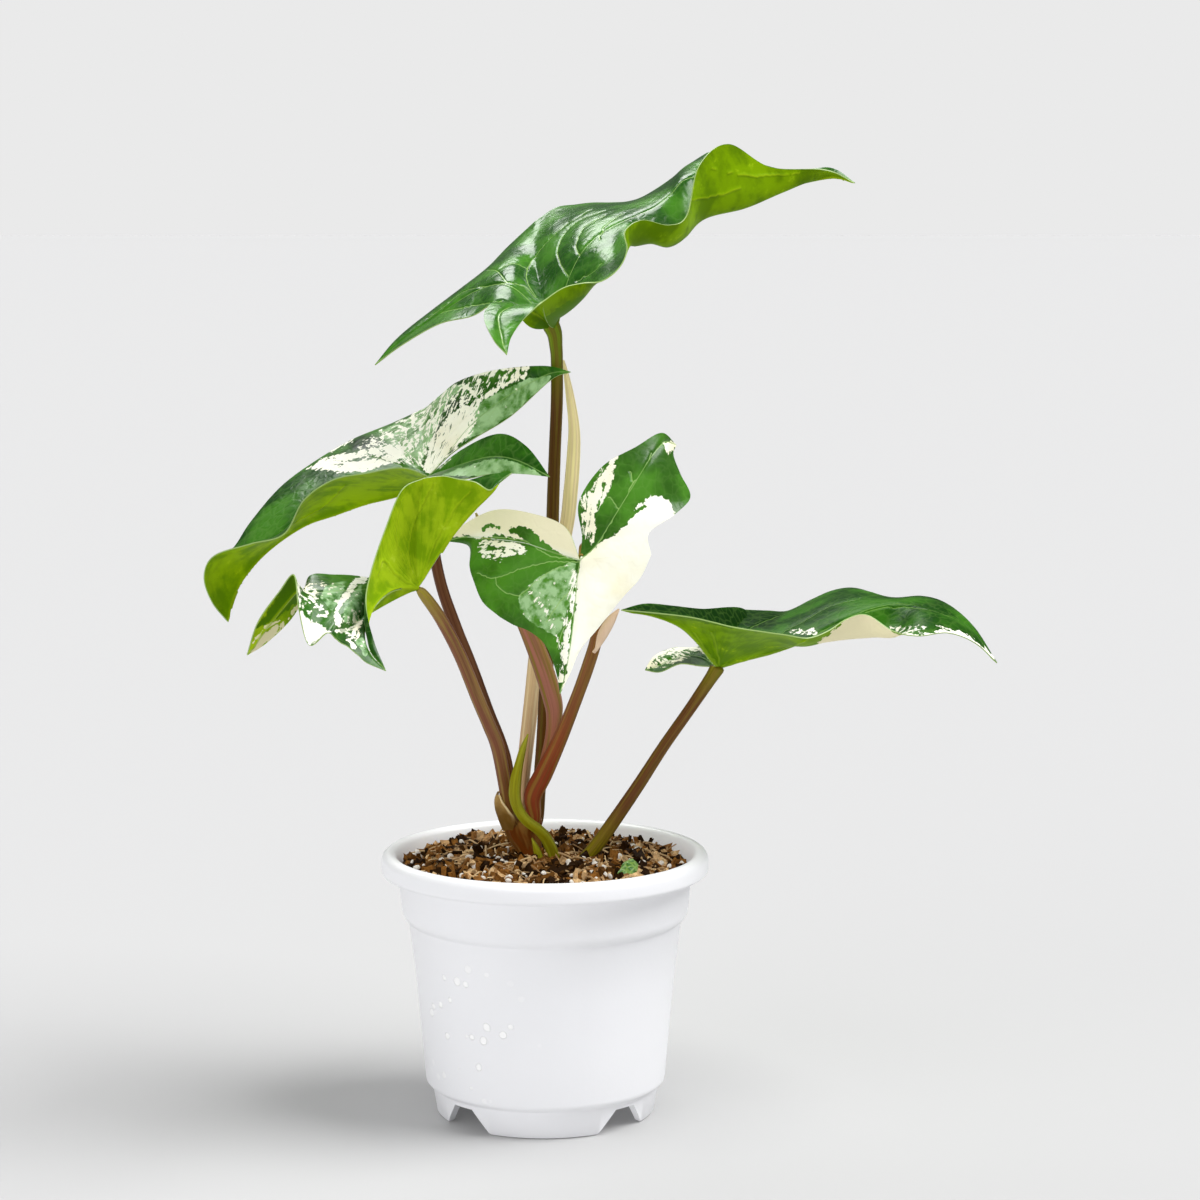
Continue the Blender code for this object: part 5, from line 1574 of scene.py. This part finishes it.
# %% Coir fibres
nothing_selected()
bpy.ops.mesh.primitive_cylinder_add(vertices=6, radius=0.5, depth=1,
                                    rotation=(0, math.radians(90), 0))
fibre = bpy.context.object
bpy.ops.object.transform_apply(location=False, rotation=True, scale=True)
for cut in (-0.25, 0.0, 0.25):
    edit_all()
    bpy.ops.mesh.bisect(plane_co=(cut, 0, 0), plane_no=(1, 0, 0))
bpy.ops.object.mode_set(mode="OBJECT")
for vertex in fibre.data.vertices:
    vertex.co.y += 1.6 * math.sin(vertex.co.x * 4.0) * abs(vertex.co.x)
    vertex.co.z += 0.9 * math.cos(vertex.co.x * 3.0)

coir = Finish("coir_fibres", roughness=0.7, shine=0.1)
coir.feed("Base Color", coir.mix(coir.painted("tone"), (0.25, 0.13, 0.05), (0.72, 0.52, 0.28)))
strewn("coir_fibres", fibre, 320, ((3.0, 10.0), (0.4, 0.9), (0.35, 0.7)), (1.8, 3.8), coir,
       reach=48.0, tilt=0.3)

# %% [markdown]
# ## Floor, light and finish
# The picture has a seamless pale ground. A wide plane gives it, and the sky that the camera sees
# has the ground's grey. The sky that lights the plant is bright above and dim at the horizon, and
# the one that glossy leaves mirror is darker still, as in a room with one window, so that they keep
# their deep green beside the sheen.

# %% Ground and sky
GROUND_DROP = 0.3           # the plane lies this far under the pot's foot
nothing_selected()
bpy.ops.mesh.primitive_plane_add(size=120.0, location=(0, 0, -GROUND_DROP * MM))
ground = bpy.context.object
ground.name = "ground"
bpy.ops.object.transform_apply(location=True, rotation=False, scale=True)
paper = Finish("pale_paper_ground", roughness=1.0, shine=0.0)
paper.feed("Base Color", (0.4955, 0.4955, 0.4955))
ground.data.materials.append(paper.material)

world = bpy.data.worlds.new("pale_sky")
bpy.context.scene.world = world
world.use_nodes = True
sky = Graph(world.node_tree)
seen = sky.tree.nodes["Background"]
seen.inputs["Color"].default_value = (0.823, 0.823, 0.823, 1.0)
direction = sky.node("ShaderNodeTexCoord", {}, {}, "Generated")
height = sky.node("ShaderNodeSeparateXYZ", {}, {0: direction}, "Z")
dome = sky.mix(height, (0.18, 0.182, 0.186), (0.67, 0.67, 0.68))
mirrored = sky.node("ShaderNodeLightPath", {}, {}, "Is Glossy Ray")
glow = sky.node("ShaderNodeBackground", {}, {"Color": sky.mix(mirrored, dome, (0.10, 0.10, 0.104))})
to_camera = sky.node("ShaderNodeLightPath", {}, {}, "Is Camera Ray")
either = sky.node("ShaderNodeMixShader", {}, {0: to_camera, 1: glow, 2: Signal(sky, seen.outputs[0])})
sky.tree.links.new(either.socket, sky.tree.nodes["World Output"].inputs["Surface"])
print("ground and sky ready")

# %% [markdown]
# The light is four wide Suns, as a Sun is equally strong everywhere and keeps the ground even up to
# the horizon. The key stands to the right and casts the one soft shadow. A low fill lights the
# pot's wall but hardly the ground, and a back light the leaves' far sides; neither casts a shadow
# or is mirrored. The fourth, from behind, is only mirrored, and lays the white sheen on the leaves.

# %% Lights
def sun(name, azimuth, elevation, energy, angle, diffuse=True, glossy=True, shadow=True):
    """A Sun towards azimuth 0 at the camera's side and 90 to the right."""
    a, e = math.radians(azimuth), math.radians(elevation)
    data = bpy.data.lights.new(name, "SUN")
    data.energy = energy
    data.angle = math.radians(angle)
    data.use_shadow = shadow
    lamp = bpy.data.objects.new(name, data)
    toward = Vector((math.sin(a) * math.cos(e), -math.cos(a) * math.cos(e), math.sin(e)))
    lamp.rotation_euler = toward.to_track_quat("Z", "Y").to_euler()
    lamp.visible_diffuse = diffuse
    lamp.visible_glossy = glossy
    bpy.context.scene.collection.objects.link(lamp)


sun("soft_key", 84, 55, 3.5, 40)
sun("back_light", 207, 40, 0.8, 40, glossy=False, shadow=False)
sun("low_fill", -42, 10, 1.2, 60, glossy=False, shadow=False)
sun("sheen", 200, 50, 1.5, 30, diffuse=False)
bpy.context.scene.view_settings.view_transform = "Standard"
print("lights ready")
